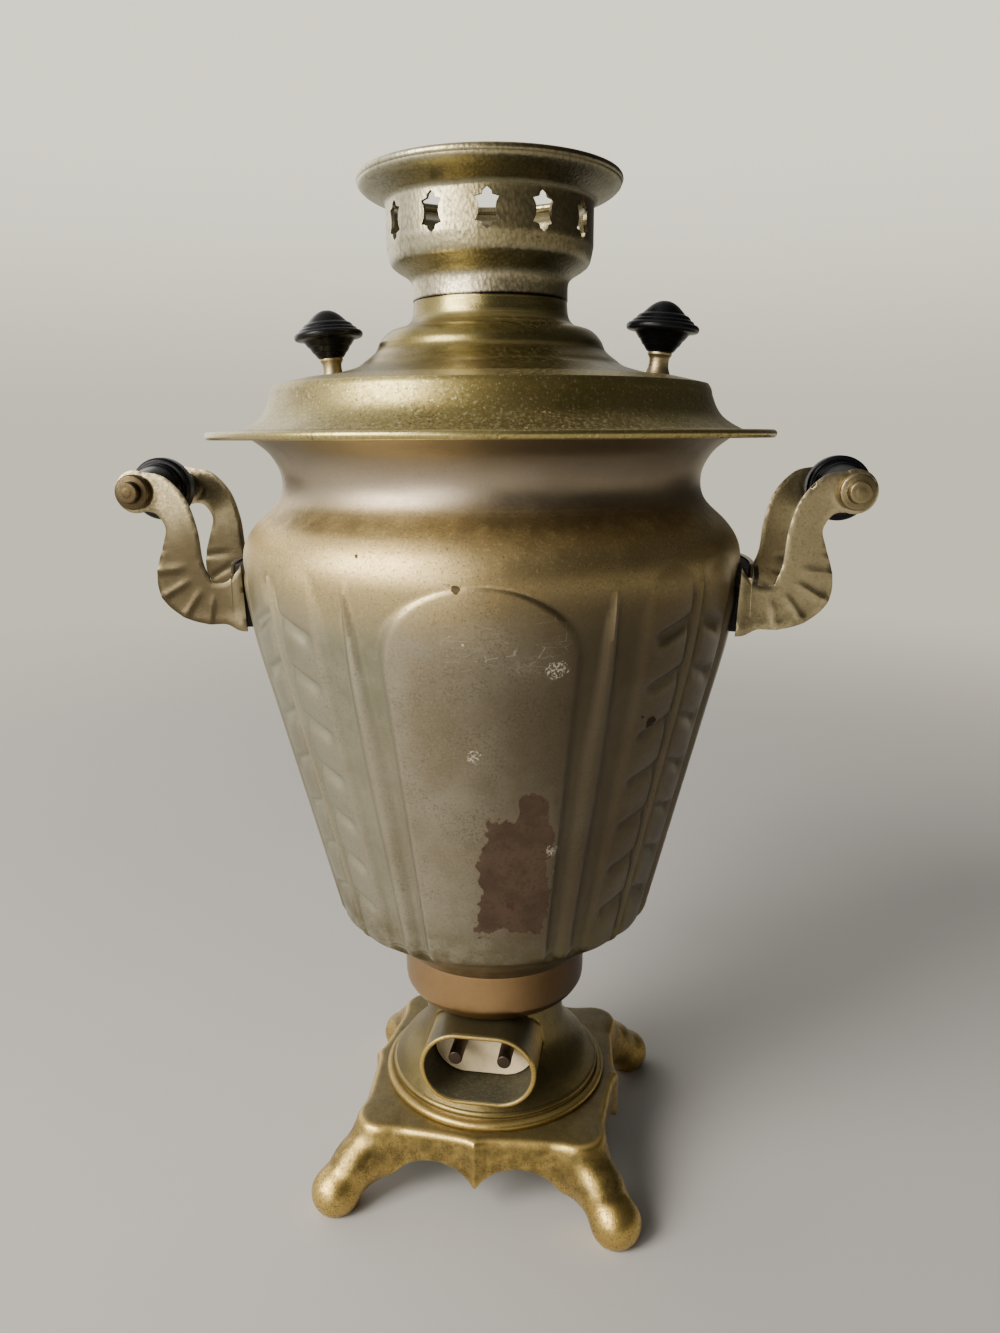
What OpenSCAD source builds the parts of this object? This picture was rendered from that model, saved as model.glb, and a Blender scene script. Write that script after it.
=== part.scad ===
// Three-litre electric samovar: an embossed cone-shaped tank on a cast base with four ball feet,
// with a lifting lid, a crown that carries a teapot, two bracket handles, a two-pin inlet and a tap.
// Millimetres. The origin is on the tank's axis at table level, +Z is up, the inlet faces -Y,
// the tap faces +Y and the handles stand out along +X and -X.

/* [Base] */
// Half the side of the square plate, measured to its straight edges
plate_half = 47.5; // [45:0.5:50]
// Height of the plate's top face above the table
plate_top = 33; // [31:0.5:36]
// Wall of the hollow casting
cast_wall = 3; // [2.5:0.25:3.5]
// How far the middle cusp of each side stands out of the plate
cusp_out = 5; // [3:0.5:6]
// Height of the tip of each cusp above the table
cusp_tip = 11.5; // [9:0.5:14]
// Height of the arches under the plate's sides
arch_top = 20; // [18:0.5:22]
// Distance of each foot from the two middle planes
foot_place = 54; // [51:0.5:57]
// Radius of the ball feet
foot_r = 9.4; // [8.4:0.2:11]
// Height of the middle of the ball above the table
foot_rise = 5; // [4:0.5:7]
// Radius of the legs where they leave the plate
leg_r = 8; // [7:0.5:9]
// Radius of the ring at the foot of the dome
dome_r = 45.5; // [43:0.5:46]
// Radius of the neck that carries the collar
base_neck_r = 28; // [26:0.5:30]
// Height of the top of that neck above the table
base_neck_top = 72; // [70:0.5:76]

/* [Collar] */
// Outside radius of the collar
collar_r = 36.5; // [34:0.5:38]
// Height of the collar
collar_h = 21.4; // [19:0.2:24]

/* [Tank] */
// Sheet thickness of the tank, ring, lid, collar and crown
sheet = 1.2; // [0.8:0.1:1.5]
// Height of the bowl under the cone
bowl_h = 18.6; // [17:0.2:22]
// Outside radius at the lower edge of the cone
cone_r = 62; // [58:0.5:66]
// Height of the cone, from its lower edge to the shoulder
cone_h = 138; // [120:1:156]
// Largest outside radius, at the shoulder
body_r = 92; // [88:0.5:96]
// Height of the shoulder, from the cone to the narrow neck
shoulder_h = 29.4; // [26:0.2:33]
// Outside radius of the narrow neck
neck_r = 76.6; // [73:0.2:80]
// Height of the flare over the narrow neck
flare_h = 14; // [12:0.2:16]
// Outside radius of the flare where it meets the brim
flare_r = 86.5; // [84:0.5:90]
// How far the embossed panels stand out of the tank
relief = 1.6; // [1:0.1:2]
// Half the angle that one arched panel covers
panel_half_angle = 21; // [18:0.5:22]
// Number of slanted leaves in each half of the columns between the panels
leaves = 7; // [5:1:9]
// Angle from the tank's front to the middle of its front panel
emboss_turn = 2; // [0:0.5:4]
// Soldering gap between the tank's bottom disc and its wall
seam_gap = 0.1; // [0.05:0.05:0.2]
// Angle by which the tank, its handles and its tap are turned on the base
tank_turn = 4.5; // [0:0.5:6]

/* [Ring] */
// Radius of the tip of the brim
brim_r = 102; // [99:0.5:106]
// Radius of the bead rolled round the brim
bead_r = 1.4; // [1.2:0.1:1.8]
// Height of the ring's corner over the underside of the brim
ring_h = 17; // [15:0.5:20]
// Radius of the ring's upper corner
ring_r = 78; // [76:0.5:80]
// Radius of the recess that the lid's edge lies in
lid_recess_r = 67.7; // [67:0.1:69]
// Radius of the filling opening
mouth_r = 65; // [64:0.5:66]

/* [Lid] */
// Gap between the lid and the ring
lid_gap = 0.2; // [0.1:0.05:0.4]
// Height of the lid from its edge to the crown's seam
lid_h = 27; // [25:0.5:30]
// Depth of the skirt that centres the lid
skirt_h = 8; // [6:0.5:10]
// Radius of the lid's neck
lid_neck_r = 27.5; // [26:0.5:29]
// Height of the spigot that centres the crown
spigot_h = 5.5; // [4:0.5:7]
// Distance of the knobs from the axis
knob_place = 60; // [57:0.5:61]
// Angle by which the lid is turned from the base
lid_turn = -1.5; // [-10:0.5:10]
// Outward tilt of the knobs in degrees
knob_tilt = 5; // [0:1:8]
// Radius of the widest ledge of the knobs
knob_r = 12.4; // [11:0.1:14]
// Height of the knobs
knob_h = 17; // [15:0.5:19]
// Height of the stems under the knobs
stem_h = 8; // [7:0.5:10]
// Number of steam holes in the spigot's top
steam_holes = 5; // [3:1:6]

/* [Crown] */
// Height of the crown over its seam with the lid
crown_h = 41.2; // [38:0.2:46]
// Radius of the crown's wall
crown_r = 36.6; // [35:0.2:38]
// Radius of the crown's rolled rim
crown_rim_r = 46.6; // [44:0.2:49]
// Gap between the crown's neck and the lid's spigot
crown_gap = 0.3; // [0.2:0.05:0.4]
// Number of star cut-outs
stars = 12; // [10:1:13]
// Angle of the first star
star_turn = 8; // [0:1:29]
// Height of each star cut-out
star_h = 12.9; // [10:0.1:14]
// Width of each star cut-out
star_w = 7.9; // [6:0.1:8.5]

/* [Handles] */
// Distance of the grips' rods from the axis
eye_x = 126.5; // [124:0.5:131]
// Height of the rods over the shoulder
eye_rise = 24; // [22:0.5:26]
// Outside radius of the bracket's eyes
eye_r = 7.6; // [6.8:0.2:9]
// Distance between the middles of a bracket's two arms
arm_spacing = 48; // [44:0.5:52]
// Thickness of the bracket's sheet
bracket_t = 1.5; // [1.2:0.1:2]
// Height of the bracket's web
web_h = 25; // [22:0.5:27]
// Distance between the tank's largest radius and the web
pad_t = 3; // [2.5:0.1:4]
// Radius of the grip's rod
grip_rod_r = 2.5; // [2:0.1:3]
// Radius of the grip's middle disc
grip_disc_r = 11.7; // [10:0.1:13]
// Radius of the grip's ends
grip_end_r = 5.3; // [4.5:0.1:6]
// Radius of the screws that hold the handles
handle_screw_r = 2; // [1.5:0.1:2.5]

/* [Inlet] */
// Outside width of the oval shroud
shroud_w = 44.6; // [42:0.2:47]
// Outside height of the oval shroud
shroud_h = 29.6; // [28:0.2:30]
// Wall of the shroud
shroud_t = 1.6; // [1.2:0.1:2]
// Distance of the shroud's mouth from the axis
shroud_out = 43; // [41:0.5:46]
// Depth of the shroud's mouth down to the insulator
inlet_depth = 18; // [16:0.5:18]
// Radius of the pins
pin_r = 2.5; // [2.3:0.1:2.5]
// Length of the pins in front of the insulator
pin_out = 15; // [14:0.5:16]
// Thickness of the insulator
insulator_t = 5; // [4:0.5:6]

/* [Heater] */
// Radius of the heater's tube
heater_r = 4; // [3.5:0.25:4.5]
// Radius of the heater's loop
heater_loop_r = 34; // [30:1:38]
// Height of the loop over the tank's bottom
heater_rise = 12; // [10:1:16]
// Angle that the loop leaves open
heater_open = 60; // [50:5:90]
// Radius of the tie rod
tie_r = 3; // [2.5:0.25:4]

/* [Tap] */
// Height of the tap over the tank's bottom
tap_rise = 18; // [16:0.5:24]
// How far the tap's flat seat stands out of the tank's wall
tap_out = 10.65; // [9:0.05:14]
// Radius of the seat
tap_seat_r = 13; // [12:0.5:14]
// Radius of the tap's shank
shank_r = 7; // [6.5:0.25:7.5]
// Distance of the plug from the seat
plug_reach = 27; // [25:0.5:32]
// Radius of the turning plug
plug_r = 8; // [7.5:0.25:8.5]
// Running clearance round the plug
plug_fit = 0.05; // [0.03:0.01:0.08]
// Height of the barrel round the plug
barrel_h = 30; // [28:1:34]
// Radius of the water way
water_r = 3.5; // [3:0.25:4]
// Distance of the spout's mouth in front of the plug
spout_reach = 27; // [25:1:32]
// Height of the tap's key
key_h = 26; // [22:1:30]

/* [Hidden] */
$fn = 96;
// Embossed panels round the tank, one on each side
panels = 4;
// Distance between the two pins, a standard size
pin_spacing = 19;
// Gap left between pieces that are fitted together without touching
joint_gap = 0.3;
// Gap of a bolt or rod in its hole
hole_gap = 0.2;
// Gap of a thread or a pressed fit
thread_gap = 0.05;

// Heights of the seams, from the table up
z_collar = base_neck_top;
z_body = z_collar + collar_h;
z_cone = z_body + bowl_h;
z_shoulder = z_cone + cone_h;
z_neck = z_shoulder + shoulder_h;
z_brim = z_neck + flare_h;
z_ring = z_brim + ring_h;
z_seat = z_ring + 2.2;
z_seam = z_seat + lid_h;
z_rim = z_seam + crown_h;
z_bottom = z_cone + 4;
z_eye = z_shoulder + eye_rise;
z_inlet = base_neck_top - shroud_h / 2 - joint_gap;
z_pin = z_inlet + 1.5;
z_tap = z_bottom + tap_rise;

// Catmull-Rom curve through the points p, with n steps in each span
function spline(p, n) = [for (i = [0 : len(p) - 2]) for (k = [0 : n - 1])
    let (a = p[max(i - 1, 0)], b = p[i], c = p[i + 1], d = p[min(i + 2, len(p) - 1)], t = k / n)
    0.5 * (2 * b + (c - a) * t + (2 * a - 5 * b + 4 * c - d) * t * t + (3 * b - a - 3 * c + d) * t * t * t),
  p[len(p) - 1]];
// Arc of radius r round c from angle a to angle b, in n steps
function arc(c, r, a, b, n = 8) = [for (k = [0 : n]) let (t = a + (b - a) * k / n) c + r * [cos(t), sin(t)]];
function unit(v) = v / norm(v);
function reverse(p) = [for (i = [len(p) - 1 : -1 : 0]) p[i]];
// The line p moved t to its left
function beside(p, t) = [for (i = [0 : len(p) - 1])
    let (v = unit(p[min(i + 1, len(p) - 1)] - p[max(i - 1, 0)])) p[i] + t * [-v[1], v[0]]];
// Closed outline of a sheet of thickness t on the left of the line p
function skin(p, t) = concat(p, reverse(beside(p, t)));

// ---- Helpers ----
// Line through the list p turned about the axis
module turned(p) rotate_extrude() polygon(p);
// Radius of the line p, which rises, at height z
function r_at(p, z) = lookup(z, [for (q = p) [q[1], q[0]]]);
// Round tapered bar from a to b, slightly thinner than the balls at its ends
ball_step = 0.4;
module limb(a, ra, b, rb) {
  v = b - a;
  translate(a) rotate([0, acos(v[2] / norm(v)), atan2(v[1], v[0])])
    cylinder(r1 = ra - ball_step, r2 = rb - ball_step, h = norm(v));
}
// What is turned with the tank
module with_tank() rotate([0, 0, tank_turn]) children();
module ball(a, r) translate(a) sphere(r = r);
// Thin bar of radius r along a list of points
module wire(p, r) for (i = [0 : len(p) - 2]) hull() {
  translate(p[i]) sphere(r = r, $fn = 12);
  translate(p[i + 1]) sphere(r = r, $fn = 12);
}
// Cylinder along +Y from y0 to y1, at x and z
module along_y(r, y0, y1, x = 0, z = 0) translate([x, y0, z]) rotate([-90, 0, 0]) cylinder(r = r, h = y1 - y0);
// Cylinder along +X from x0 to x1, at y = 0
module along_x(r, x0, x1, z) translate([x0, 0, z]) rotate([0, 90, 0]) cylinder(r = r, h = x1 - x0);
// Prism of oval section, w wide and h high, along Y at the inlet's height
module oval(w, h, y0, y1) {
  for (s = [-1, 1]) along_y(h / 2, y0, y1, s * (w - h) / 2, z_inlet);
  translate([-(w - h) / 2, y0, z_inlet - h / 2]) cube([w - h, y1 - y0, h]);
}
// Ring between two radii from z0 up to z1
module ring(r_in, r_out, z0, z1) difference() {
  translate([0, 0, z0]) cylinder(r = r_out, h = z1 - z0);
  translate([0, 0, z0 - 1]) cylinder(r = r_in, h = z1 - z0 + 2);
}
// Hexagonal nut with a round hole, standing on z = 0
module hex_nut(r, hole, h) difference() {
  cylinder(r = r, h = h, $fn = 6);
  translate([0, 0, -1]) cylinder(r = hole, h = h + 2);
}

// ---- Base ----
dome_line = concat([[dome_r - 2, plate_top - 1]], spline([[dome_r - 2, plate_top], [dome_r - 3.5, plate_top + 5],
  [dome_r - 7, plate_top + 11], [base_neck_r + 5, plate_top + 16.5], [base_neck_r + 1.5, plate_top + 22],
  [base_neck_r, plate_top + 29]], 3), [[base_neck_r, base_neck_top]]);
cover_z = plate_top - cast_wall;
cover_r = dome_r - 3;
cover_t = 1;
corner_r = 10;
// One side of the plate, from its corner to the cusp and on to the next corner
half_side = spline([[-plate_half + corner_r, -plate_half], [-plate_half / 2, -plate_half - 1],
  [-8, -plate_half - 2.5], [0, -plate_half - cusp_out]], 4);
one_side = concat(half_side, [for (i = [len(half_side) - 2 : -1 : 0]) [-half_side[i][0], half_side[i][1]]],
  arc([plate_half - corner_r, -plate_half + corner_r], corner_r, -80, -10, 5));
function turn(p, a) = [for (q = p) [q[0] * cos(a) - q[1] * sin(a), q[0] * sin(a) + q[1] * cos(a)]];
plate_outline = [for (a = [0 : 90 : 270]) each turn(one_side, a)];
arch_x = sqrt(arch_top * arch_top - cusp_tip * cusp_tip);
leg_top = plate_half - 7.5;
knee = [plate_half, plate_half, plate_top / 2];

module leg() {
  hip = [leg_top, leg_top, plate_top - leg_r - 0.4];
  foot = [foot_place, foot_place, foot_rise];
  ball(hip, leg_r);
  limb(hip, leg_r, knee, leg_r);
  ball(knee, leg_r);
  limb(knee, leg_r, foot, foot_r);
  ball(foot, foot_r);
}

// Larger than anything that is cut with it
far = 4 * body_r;

module apron() difference() {
  union() {
    translate([0, 0, cusp_tip]) linear_extrude(plate_top - cusp_tip - 1.5) polygon(plate_outline);
    translate([0, 0, plate_top - 1.5 - 0.1]) linear_extrude(1.6) scale((plate_half - 1.5) / plate_half)
      polygon(plate_outline);
  }
  translate([0, 0, plate_top - cast_wall - far]) linear_extrude(far)
    square(2 * (plate_half - cast_wall), center = true);
  for (a = [0, 90], s = [-1, 1]) rotate([0, 0, a]) along_y(arch_top, -far, far, s * arch_x, 0);
  cylinder(r = dome_r - 2 - cast_wall, h = far);
}
// What lies above or below a height, to be cut away
module above(z) translate([0, 0, z]) cylinder(r = far, h = far);
module below(z) translate([0, 0, z - far]) cylinder(r = far, h = far);

module base() color("#9a8040") difference() {
  union() {
    apron();
    for (a = [0 : 90 : 270]) rotate([0, 0, a]) leg();
  }
  below(0);
}

// The dome stands on the plate and has a slot for the inlet's shroud
slot_w = shroud_w - shroud_h;
module dome() color("#9a8040") difference() {
  union() {
    turned(skin(dome_line, cast_wall));
    ring(base_neck_r - 8, base_neck_r - 1, base_neck_top - cast_wall, base_neck_top);
    rotate_extrude() translate([dome_r - 1.8, plate_top + 1.2]) circle(r = 1.8);
    rotate_extrude() translate([dome_r - 3.6, plate_top + 4.2]) circle(r = 1.2);
  }
  below(plate_top);
  oval(shroud_w + 2 * hole_gap, shroud_h + 2 * hole_gap, -far, shroud_back + hole_gap);
  translate([-slot_w / 2, -far, z_inlet]) cube([slot_w, far + shroud_back, shroud_h + cast_wall]);
}

module base_cover() color("#8c8c88") ring(tie_r + hole_gap, cover_r, cover_z - cover_t, cover_z);

// ---- Tie rod ----
tie_boss_h = 9;
tie_low = cover_z - cover_t - 8;
nut_h = 5;
module tie_rod() color("#8c8c88") translate([0, 0, tie_low])
  cylinder(r = tie_r, h = z_bottom - 2 - tie_low);
module tie_nut() color("#8c8c88") translate([0, 0, cover_z - cover_t - nut_h])
  hex_nut(2 * tie_r, tie_r + thread_gap, nut_h);

// ---- Collar ----
collar_line = concat([[base_neck_r - 8, z_collar]], spline([[collar_r - 6, z_collar], [collar_r - 3, z_collar + 1.2],
  [collar_r - 0.7, z_collar + 4], [collar_r, z_collar + 7.5]], 3), [[collar_r, z_body]]);
module collar() color("#a9743c") turned(skin(collar_line, sheet));

// ---- Tank ----
straight_h = cone_h - 31;
straight_r = body_r - 4;
// How far under the shoulder the wall starts to turn in
bend_drop = 13;
flange_r = flare_r + 0.765 * (brim_r - 2 * bead_r - joint_gap - flare_r);
// Outside of the raised panels, and outside of the sheet between them
panel_line = concat([[cone_r - 7, z_cone - 4.5], [cone_r - 2, z_cone - 1], [cone_r, z_cone + 2]],
  [[straight_r, z_cone + straight_h], [body_r - 1, z_shoulder - bend_drop], [body_r, z_shoulder - 2]]);
body_line = concat([[collar_r - 4, z_body]], spline([[collar_r + 1.5, z_body], [collar_r + 9.5, z_body + 7.5],
  [cone_r - 9, z_cone - 5.5], [cone_r - relief - 2.3, z_cone - 1.5], [cone_r - relief, z_cone + 2]], 3),
  spline([[straight_r - relief, z_cone + straight_h], [body_r - relief - 0.8, z_shoulder - bend_drop],
  [body_r - relief / 2, z_shoulder - 3], [body_r - 0.3, z_shoulder + 4.5], [body_r - 6, z_shoulder + 12.7],
  [neck_r + 1.4, z_neck - 8.4], [neck_r, z_neck], [neck_r + 3.6, z_neck + 7.6],
  [flare_r, z_brim - sheet]], 3), [[flange_r, z_brim - sheet]]);
panel_band = concat(panel_line, reverse(beside([for (q = panel_line) [r_at(body_line, q[1]), q[1]]], sheet / 2)));
// Width of the arched panel where it starts to close
function half_w(r, a) = r * sin(a);
arch_start = z_shoulder - 45;
arch_h = 35;
// Angles from the front and back panels to the ribs beside them and to the stems of the leaf columns
rib_angle = 26.7;
rib_half_w = 3.4;
stem_angle = 50;
// Where the leaves of a half column lie beside its stem, and half the angle that they cover
leaf_angle = 9.2;
leaf_half_angle = 6.2;
tap_boss_depth = 18;
tap_seat = r_at(body_line, z_tap) + tap_out;
// The wall is joined from three pieces, with seams at the cone's lower edge and at the narrow neck
z_pan = z_cone + 2;

// Prism that reaches outward from the axis, with its outline in the (sideways, height) plane
module outward(outline) rotate([90, 0, 0]) linear_extrude(body_r + 20) polygon(outline);
function arched(low_w, high_w, z0, z1, rise) =
  concat([[-low_w, z0], [low_w, z0]], [for (t = [0 : 15 : 180]) [high_w * cos(t), z1 + rise * sin(t)]]);

module embossing() rotate([0, 0, emboss_turn]) {
  for (k = [0 : panels - 1]) rotate([0, 0, 90 * k]) outward(arched(half_w(cone_r, panel_half_angle),
    half_w(body_r - 3, panel_half_angle), z_cone - 20, arch_start, arch_h));
  for (k = [0, 180], s = [-1, 1]) rotate([0, 0, k]) {
    rotate([0, 0, s * rib_angle]) outward(arched(rib_half_w, rib_half_w, z_cone - 20, arch_start - 15, arch_h + 10));
    for (side = [-1, 1], i = [0 : leaves - 1]) rotate([0, 0, s * (stem_angle + side * leaf_angle)])
      leaf(z_cone + leaf_pitch * (i + 0.62), s * side * leaf_slant);
  }
}
leaf_pitch = (z_shoulder - z_cone) / (leaves + 1);
leaf_slant = 18;
// One leaf in the middle of the front, at height z
module leaf(z, slant) {
  w = half_w(r_at(panel_line, z), leaf_half_angle);
  translate([0, 0, z]) rotate([0, slant, 0]) translate([-w, -far, -0.35 * leaf_pitch])
    cube([2 * w, far, 0.7 * leaf_pitch]);
}

module embossed_wall() {
  turned(skin(body_line, sheet));
  intersection() {
    turned(panel_band);
    embossing();
  }
}
module pan() color("#8f8663") with_tank() difference() {
  embossed_wall();
  above(z_pan);
}
module neck() color("#8f8663") with_tank() difference() {
  turned(skin(body_line, sheet));
  below(z_neck);
}
module body() color("#8f8663") with_tank() difference() {
  union() {
    embossed_wall();
    along_y(tap_seat_r, tap_seat - tap_boss_depth, tap_seat, 0, z_tap);
  }
  below(z_pan);
  above(z_neck);
  along_y(shank_r + hole_gap, 0, 2 * body_r, 0, z_tap);
  for (z = screw_z) along_x(handle_screw_r + hole_gap, -2 * body_r, 2 * body_r, z);
}

bottom_t = 1.5;
bottom_r = r_at(body_line, z_bottom) - sheet * 1.06 - seam_gap;
heater_x = heater_loop_r * sin(heater_open / 2);
heater_y = -heater_loop_r * cos(heater_open / 2);
module tank_bottom() color("#b0a070") difference() {
  union() {
    translate([0, 0, z_bottom]) cylinder(r = bottom_r, h = bottom_t);
    translate([0, 0, z_bottom - tie_boss_h]) cylinder(r = 3 * tie_r, h = tie_boss_h + bottom_t);
  }
  translate([0, 0, z_bottom - tie_boss_h - 1]) cylinder(r = tie_r + thread_gap, h = tie_boss_h);
  for (s = [-1, 1]) translate([s * heater_x, heater_y, z_bottom - 1]) cylinder(r = heater_r + hole_gap, h = 10);
}

// ---- Ring and brim ----
// Radius at a share of the way from the ring's upper corner to the tip of the brim
function r_ring(share) = ring_r + share * (brim_r - ring_r);
ring_corner = [ring_r, z_ring];
recess_edge = [lid_recess_r + joint_gap, z_seat];
ring_line = concat([[brim_r - bead_r, z_brim + sheet]], spline([[r_ring(0.583), z_brim + sheet + 0.2],
  [r_ring(0.433), z_brim + 2.6], [r_ring(0.25), z_brim + 5.4], [r_ring(0.142), z_brim + 8.6],
  [r_ring(0.071), z_ring - 4.4], [r_ring(0.042), z_ring - 1.7], ring_corner], 3),
  [0.9 * ring_corner + 0.1 * recess_edge, recess_edge]);
// How far the bead stands over the brim's upper face
bead_rise = 0.2;
module rim_ring() color("#8a7a3a") {
  turned(skin(ring_line, sheet));
  rotate_extrude() translate([brim_r - bead_r, z_brim + sheet + bead_rise - bead_r])
    circle(r = bead_r);
  ring(mouth_r, lid_recess_r + sheet / 2, z_seat - 2 * sheet, z_seat - sheet);
  ring(lid_recess_r, lid_recess_r + sheet / 2, z_seat - 2 * sheet, z_seat);
}

// ---- Heater ----
gasket_t = 1.5;
flange_t = 2;
z_loop = z_bottom + heater_rise;
z_gasket = z_bottom + bottom_t;
leg_low = z_bottom - 10;
cold_pin_r = 1.5;
cold_pin_low = leg_low - 5;
module heating_element() color("#a08060") {
  translate([0, 0, z_loop]) rotate([0, 0, -90 + heater_open / 2]) rotate_extrude(angle = 360 - heater_open)
    translate([heater_loop_r, 0]) circle(r = heater_r);
  for (s = [-1, 1]) translate([s * heater_x, heater_y, 0]) {
    translate([0, 0, z_loop]) sphere(r = heater_r + ball_step);
    translate([0, 0, leg_low]) cylinder(r = heater_r, h = z_loop - leg_low);
    translate([0, 0, z_gasket + gasket_t]) cylinder(r = heater_r + 3, h = flange_t);
    translate([0, 0, cold_pin_low]) cylinder(r = cold_pin_r, h = leg_low - cold_pin_low + 1);
  }
}
module at_heater_legs() for (s = [-1, 1]) translate([s * heater_x, heater_y, 0]) children();
module heater_gaskets() color("#703828") at_heater_legs()
  ring(heater_r + thread_gap, heater_r + 3, z_gasket, z_gasket + gasket_t);
module heater_nuts() color("#b0a070") at_heater_legs() translate([0, 0, z_bottom - nut_h])
  hex_nut(heater_r * 1.9, heater_r + thread_gap, nut_h);

// ---- Inlet ----
insulator_y = -shroud_out + inlet_depth;
shroud_back = insulator_y + insulator_t + 2;
pin_tail = insulator_y + insulator_t + 6;
ledge = 1.5;
module inlet_shroud() color("#7e7348") difference() {
  oval(shroud_w, shroud_h, -shroud_out, shroud_back);
  oval(shroud_w - 2 * shroud_t, shroud_h - 2 * shroud_t, -shroud_out - 1, insulator_y + insulator_t);
  oval(shroud_w - 2 * (shroud_t + ledge), shroud_h - 2 * (shroud_t + ledge), -shroud_out, shroud_back + 1);
}
module inlet_insulator() color("#d8cdb0") difference() {
  oval(shroud_w - 2 * (shroud_t + thread_gap), shroud_h - 2 * (shroud_t + thread_gap), insulator_y,
    insulator_y + insulator_t);
  for (s = [-1, 1]) along_y(pin_tail_r + thread_gap, insulator_y - 1, insulator_y + insulator_t + 1,
    s * pin_spacing / 2, z_pin);
}
// Each pin has a shoulder that lies against the insulator
pin_tail_r = pin_r - 0.5;
module inlet_pin(s) color("#4a4540") {
  along_y(pin_r, insulator_y - pin_out, insulator_y, s * pin_spacing / 2, z_pin);
  along_y(pin_tail_r, insulator_y - 1, pin_tail, s * pin_spacing / 2, z_pin);
}
module left_inlet_pin() inlet_pin(-1);
module right_inlet_pin() inlet_pin(1);
module pin_nuts() color("#8c8c88") for (s = [-1, 1])
  translate([s * pin_spacing / 2, insulator_y + insulator_t, z_pin]) rotate([-90, 0, 0])
    hex_nut(2 * pin_r, pin_tail_r + thread_gap, 4);

// Leads from the heater's pins down through the collar to the inlet's pins
lead_r = 1.2;
module lead(s) color("#c8c0b0") wire([[s * heater_x, heater_y, cold_pin_low - lead_r],
  [s * 14, -24, z_body - 5], [s * 11, -15, z_collar + 8], [s * 10, -12, z_collar - 5],
  [s * pin_spacing / 2, pin_tail + lead_r + 0.5, z_pin + 3], [s * pin_spacing / 2, pin_tail + lead_r, z_pin]], lead_r);
module left_lead() lead(-1);
module right_lead() lead(1);

// ---- Handles ----
web_in = body_r + pad_t;
web_out = web_in + bracket_t;
web_low = z_eye - 50.5;
web_half = asin((arm_spacing + bracket_t) / 2 / web_in);
// Where the arms meet the web, seen from the eye
arm_root = sqrt(web_in * web_in - arm_spacing * arm_spacing / 4) - eye_x;
screw_z = [web_low + 6.5, web_low + web_h - 6.5];
arm_lower = spline([[-3, 0.6 - eye_r], [-7, -eye_r - 0.2], [-10.1, -12.8], [-8.8, -18.7], [-6.2, -27.5],
  [-6, -35], [-9, -41], [-16, -46], [-24, -48], [arm_root + 4, -48], [arm_root - 3, -50.5]], 3);
arm_upper = spline([[arm_root - 3, web_h - 50.5], [arm_root + 0.5, web_h - 54], [arm_root + 4, web_h - 57.6],
  [arm_root + 8.5, web_h - 57.5], [-25, -30], [-23, -24.5], [-21.6, -13.5], [-18, -2.5], [-10.8, 5.2],
  [-3, eye_r - 0.6]], 3);

// One arm, standing in a plane of constant y
module arm() rotate([90, 0, 0]) linear_extrude(bracket_t, center = true) {
  polygon(concat(arm_lower, arm_upper));
  circle(r = eye_r);
}
// Part of a tube round the axis, from angle -a to a
module bent_plate(r0, r1, a, z0, z1) rotate([0, 0, -a]) rotate_extrude(angle = 2 * a)
  translate([r0, z0]) square([r1 - r0, z1 - z0]);
module bracket() difference() {
  union() {
    difference() {
      for (s = [-1, 1]) translate([eye_x, s * arm_spacing / 2, z_eye]) arm();
      cylinder(r = web_in, h = z_eye + 50);
    }
    bent_plate(web_in, web_out, web_half, web_low, web_low + web_h);
  }
  along_y(grip_rod_r + hole_gap, -arm_spacing, arm_spacing, eye_x, z_eye);
  for (z = screw_z) along_x(handle_screw_r + hole_gap, 0, 2 * web_out, z);
}
module right_handle_bracket() color("#8f8663") with_tank() bracket();
module left_handle_bracket() color("#8f8663") with_tank() mirror([1, 0, 0]) bracket();

pad_low = web_low - 1;
pad_high = web_low + web_h + 1.5;
module handle_pad() difference() {
  rotate([0, 0, -web_half - 1]) rotate_extrude(angle = 2 * web_half + 2) polygon([
    [r_at(panel_line, pad_low) + joint_gap / 2, pad_low], [web_in, pad_low], [web_in, pad_high],
    [r_at(panel_line, pad_high) + joint_gap / 2, pad_high],
    [r_at(panel_line, z_shoulder - bend_drop) + joint_gap / 2, z_shoulder - bend_drop]]);
  for (z = screw_z) along_x(handle_screw_r + hole_gap, 0, 2 * web_out, z);
}
module right_handle_pad() color("#1c1c1e") with_tank() handle_pad();
module left_handle_pad() color("#1c1c1e") with_tank() mirror([1, 0, 0]) handle_pad();

screw_head_r = 3.8;
screw_head_t = 2.5;
function nut_x(z) = r_at(body_line, z) - 1.1 * sheet - 4.2;
module both_sides() with_tank() for (s = [0, 1]) mirror([s, 0, 0]) children();
module handle_screws() color("#8c8c88") both_sides() for (z = screw_z) {
  along_x(handle_screw_r, nut_x(z) - 0.5, web_out + 1, z);
  along_x(screw_head_r, web_out + 0.2, web_out + 0.2 + screw_head_t, z);
}
module handle_nuts() color("#8c8c88") both_sides() for (z = screw_z) translate([nut_x(z), 0, z])
  rotate([0, 90, 0]) hex_nut(2 * handle_screw_r, handle_screw_r + thread_gap, 3);

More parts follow.
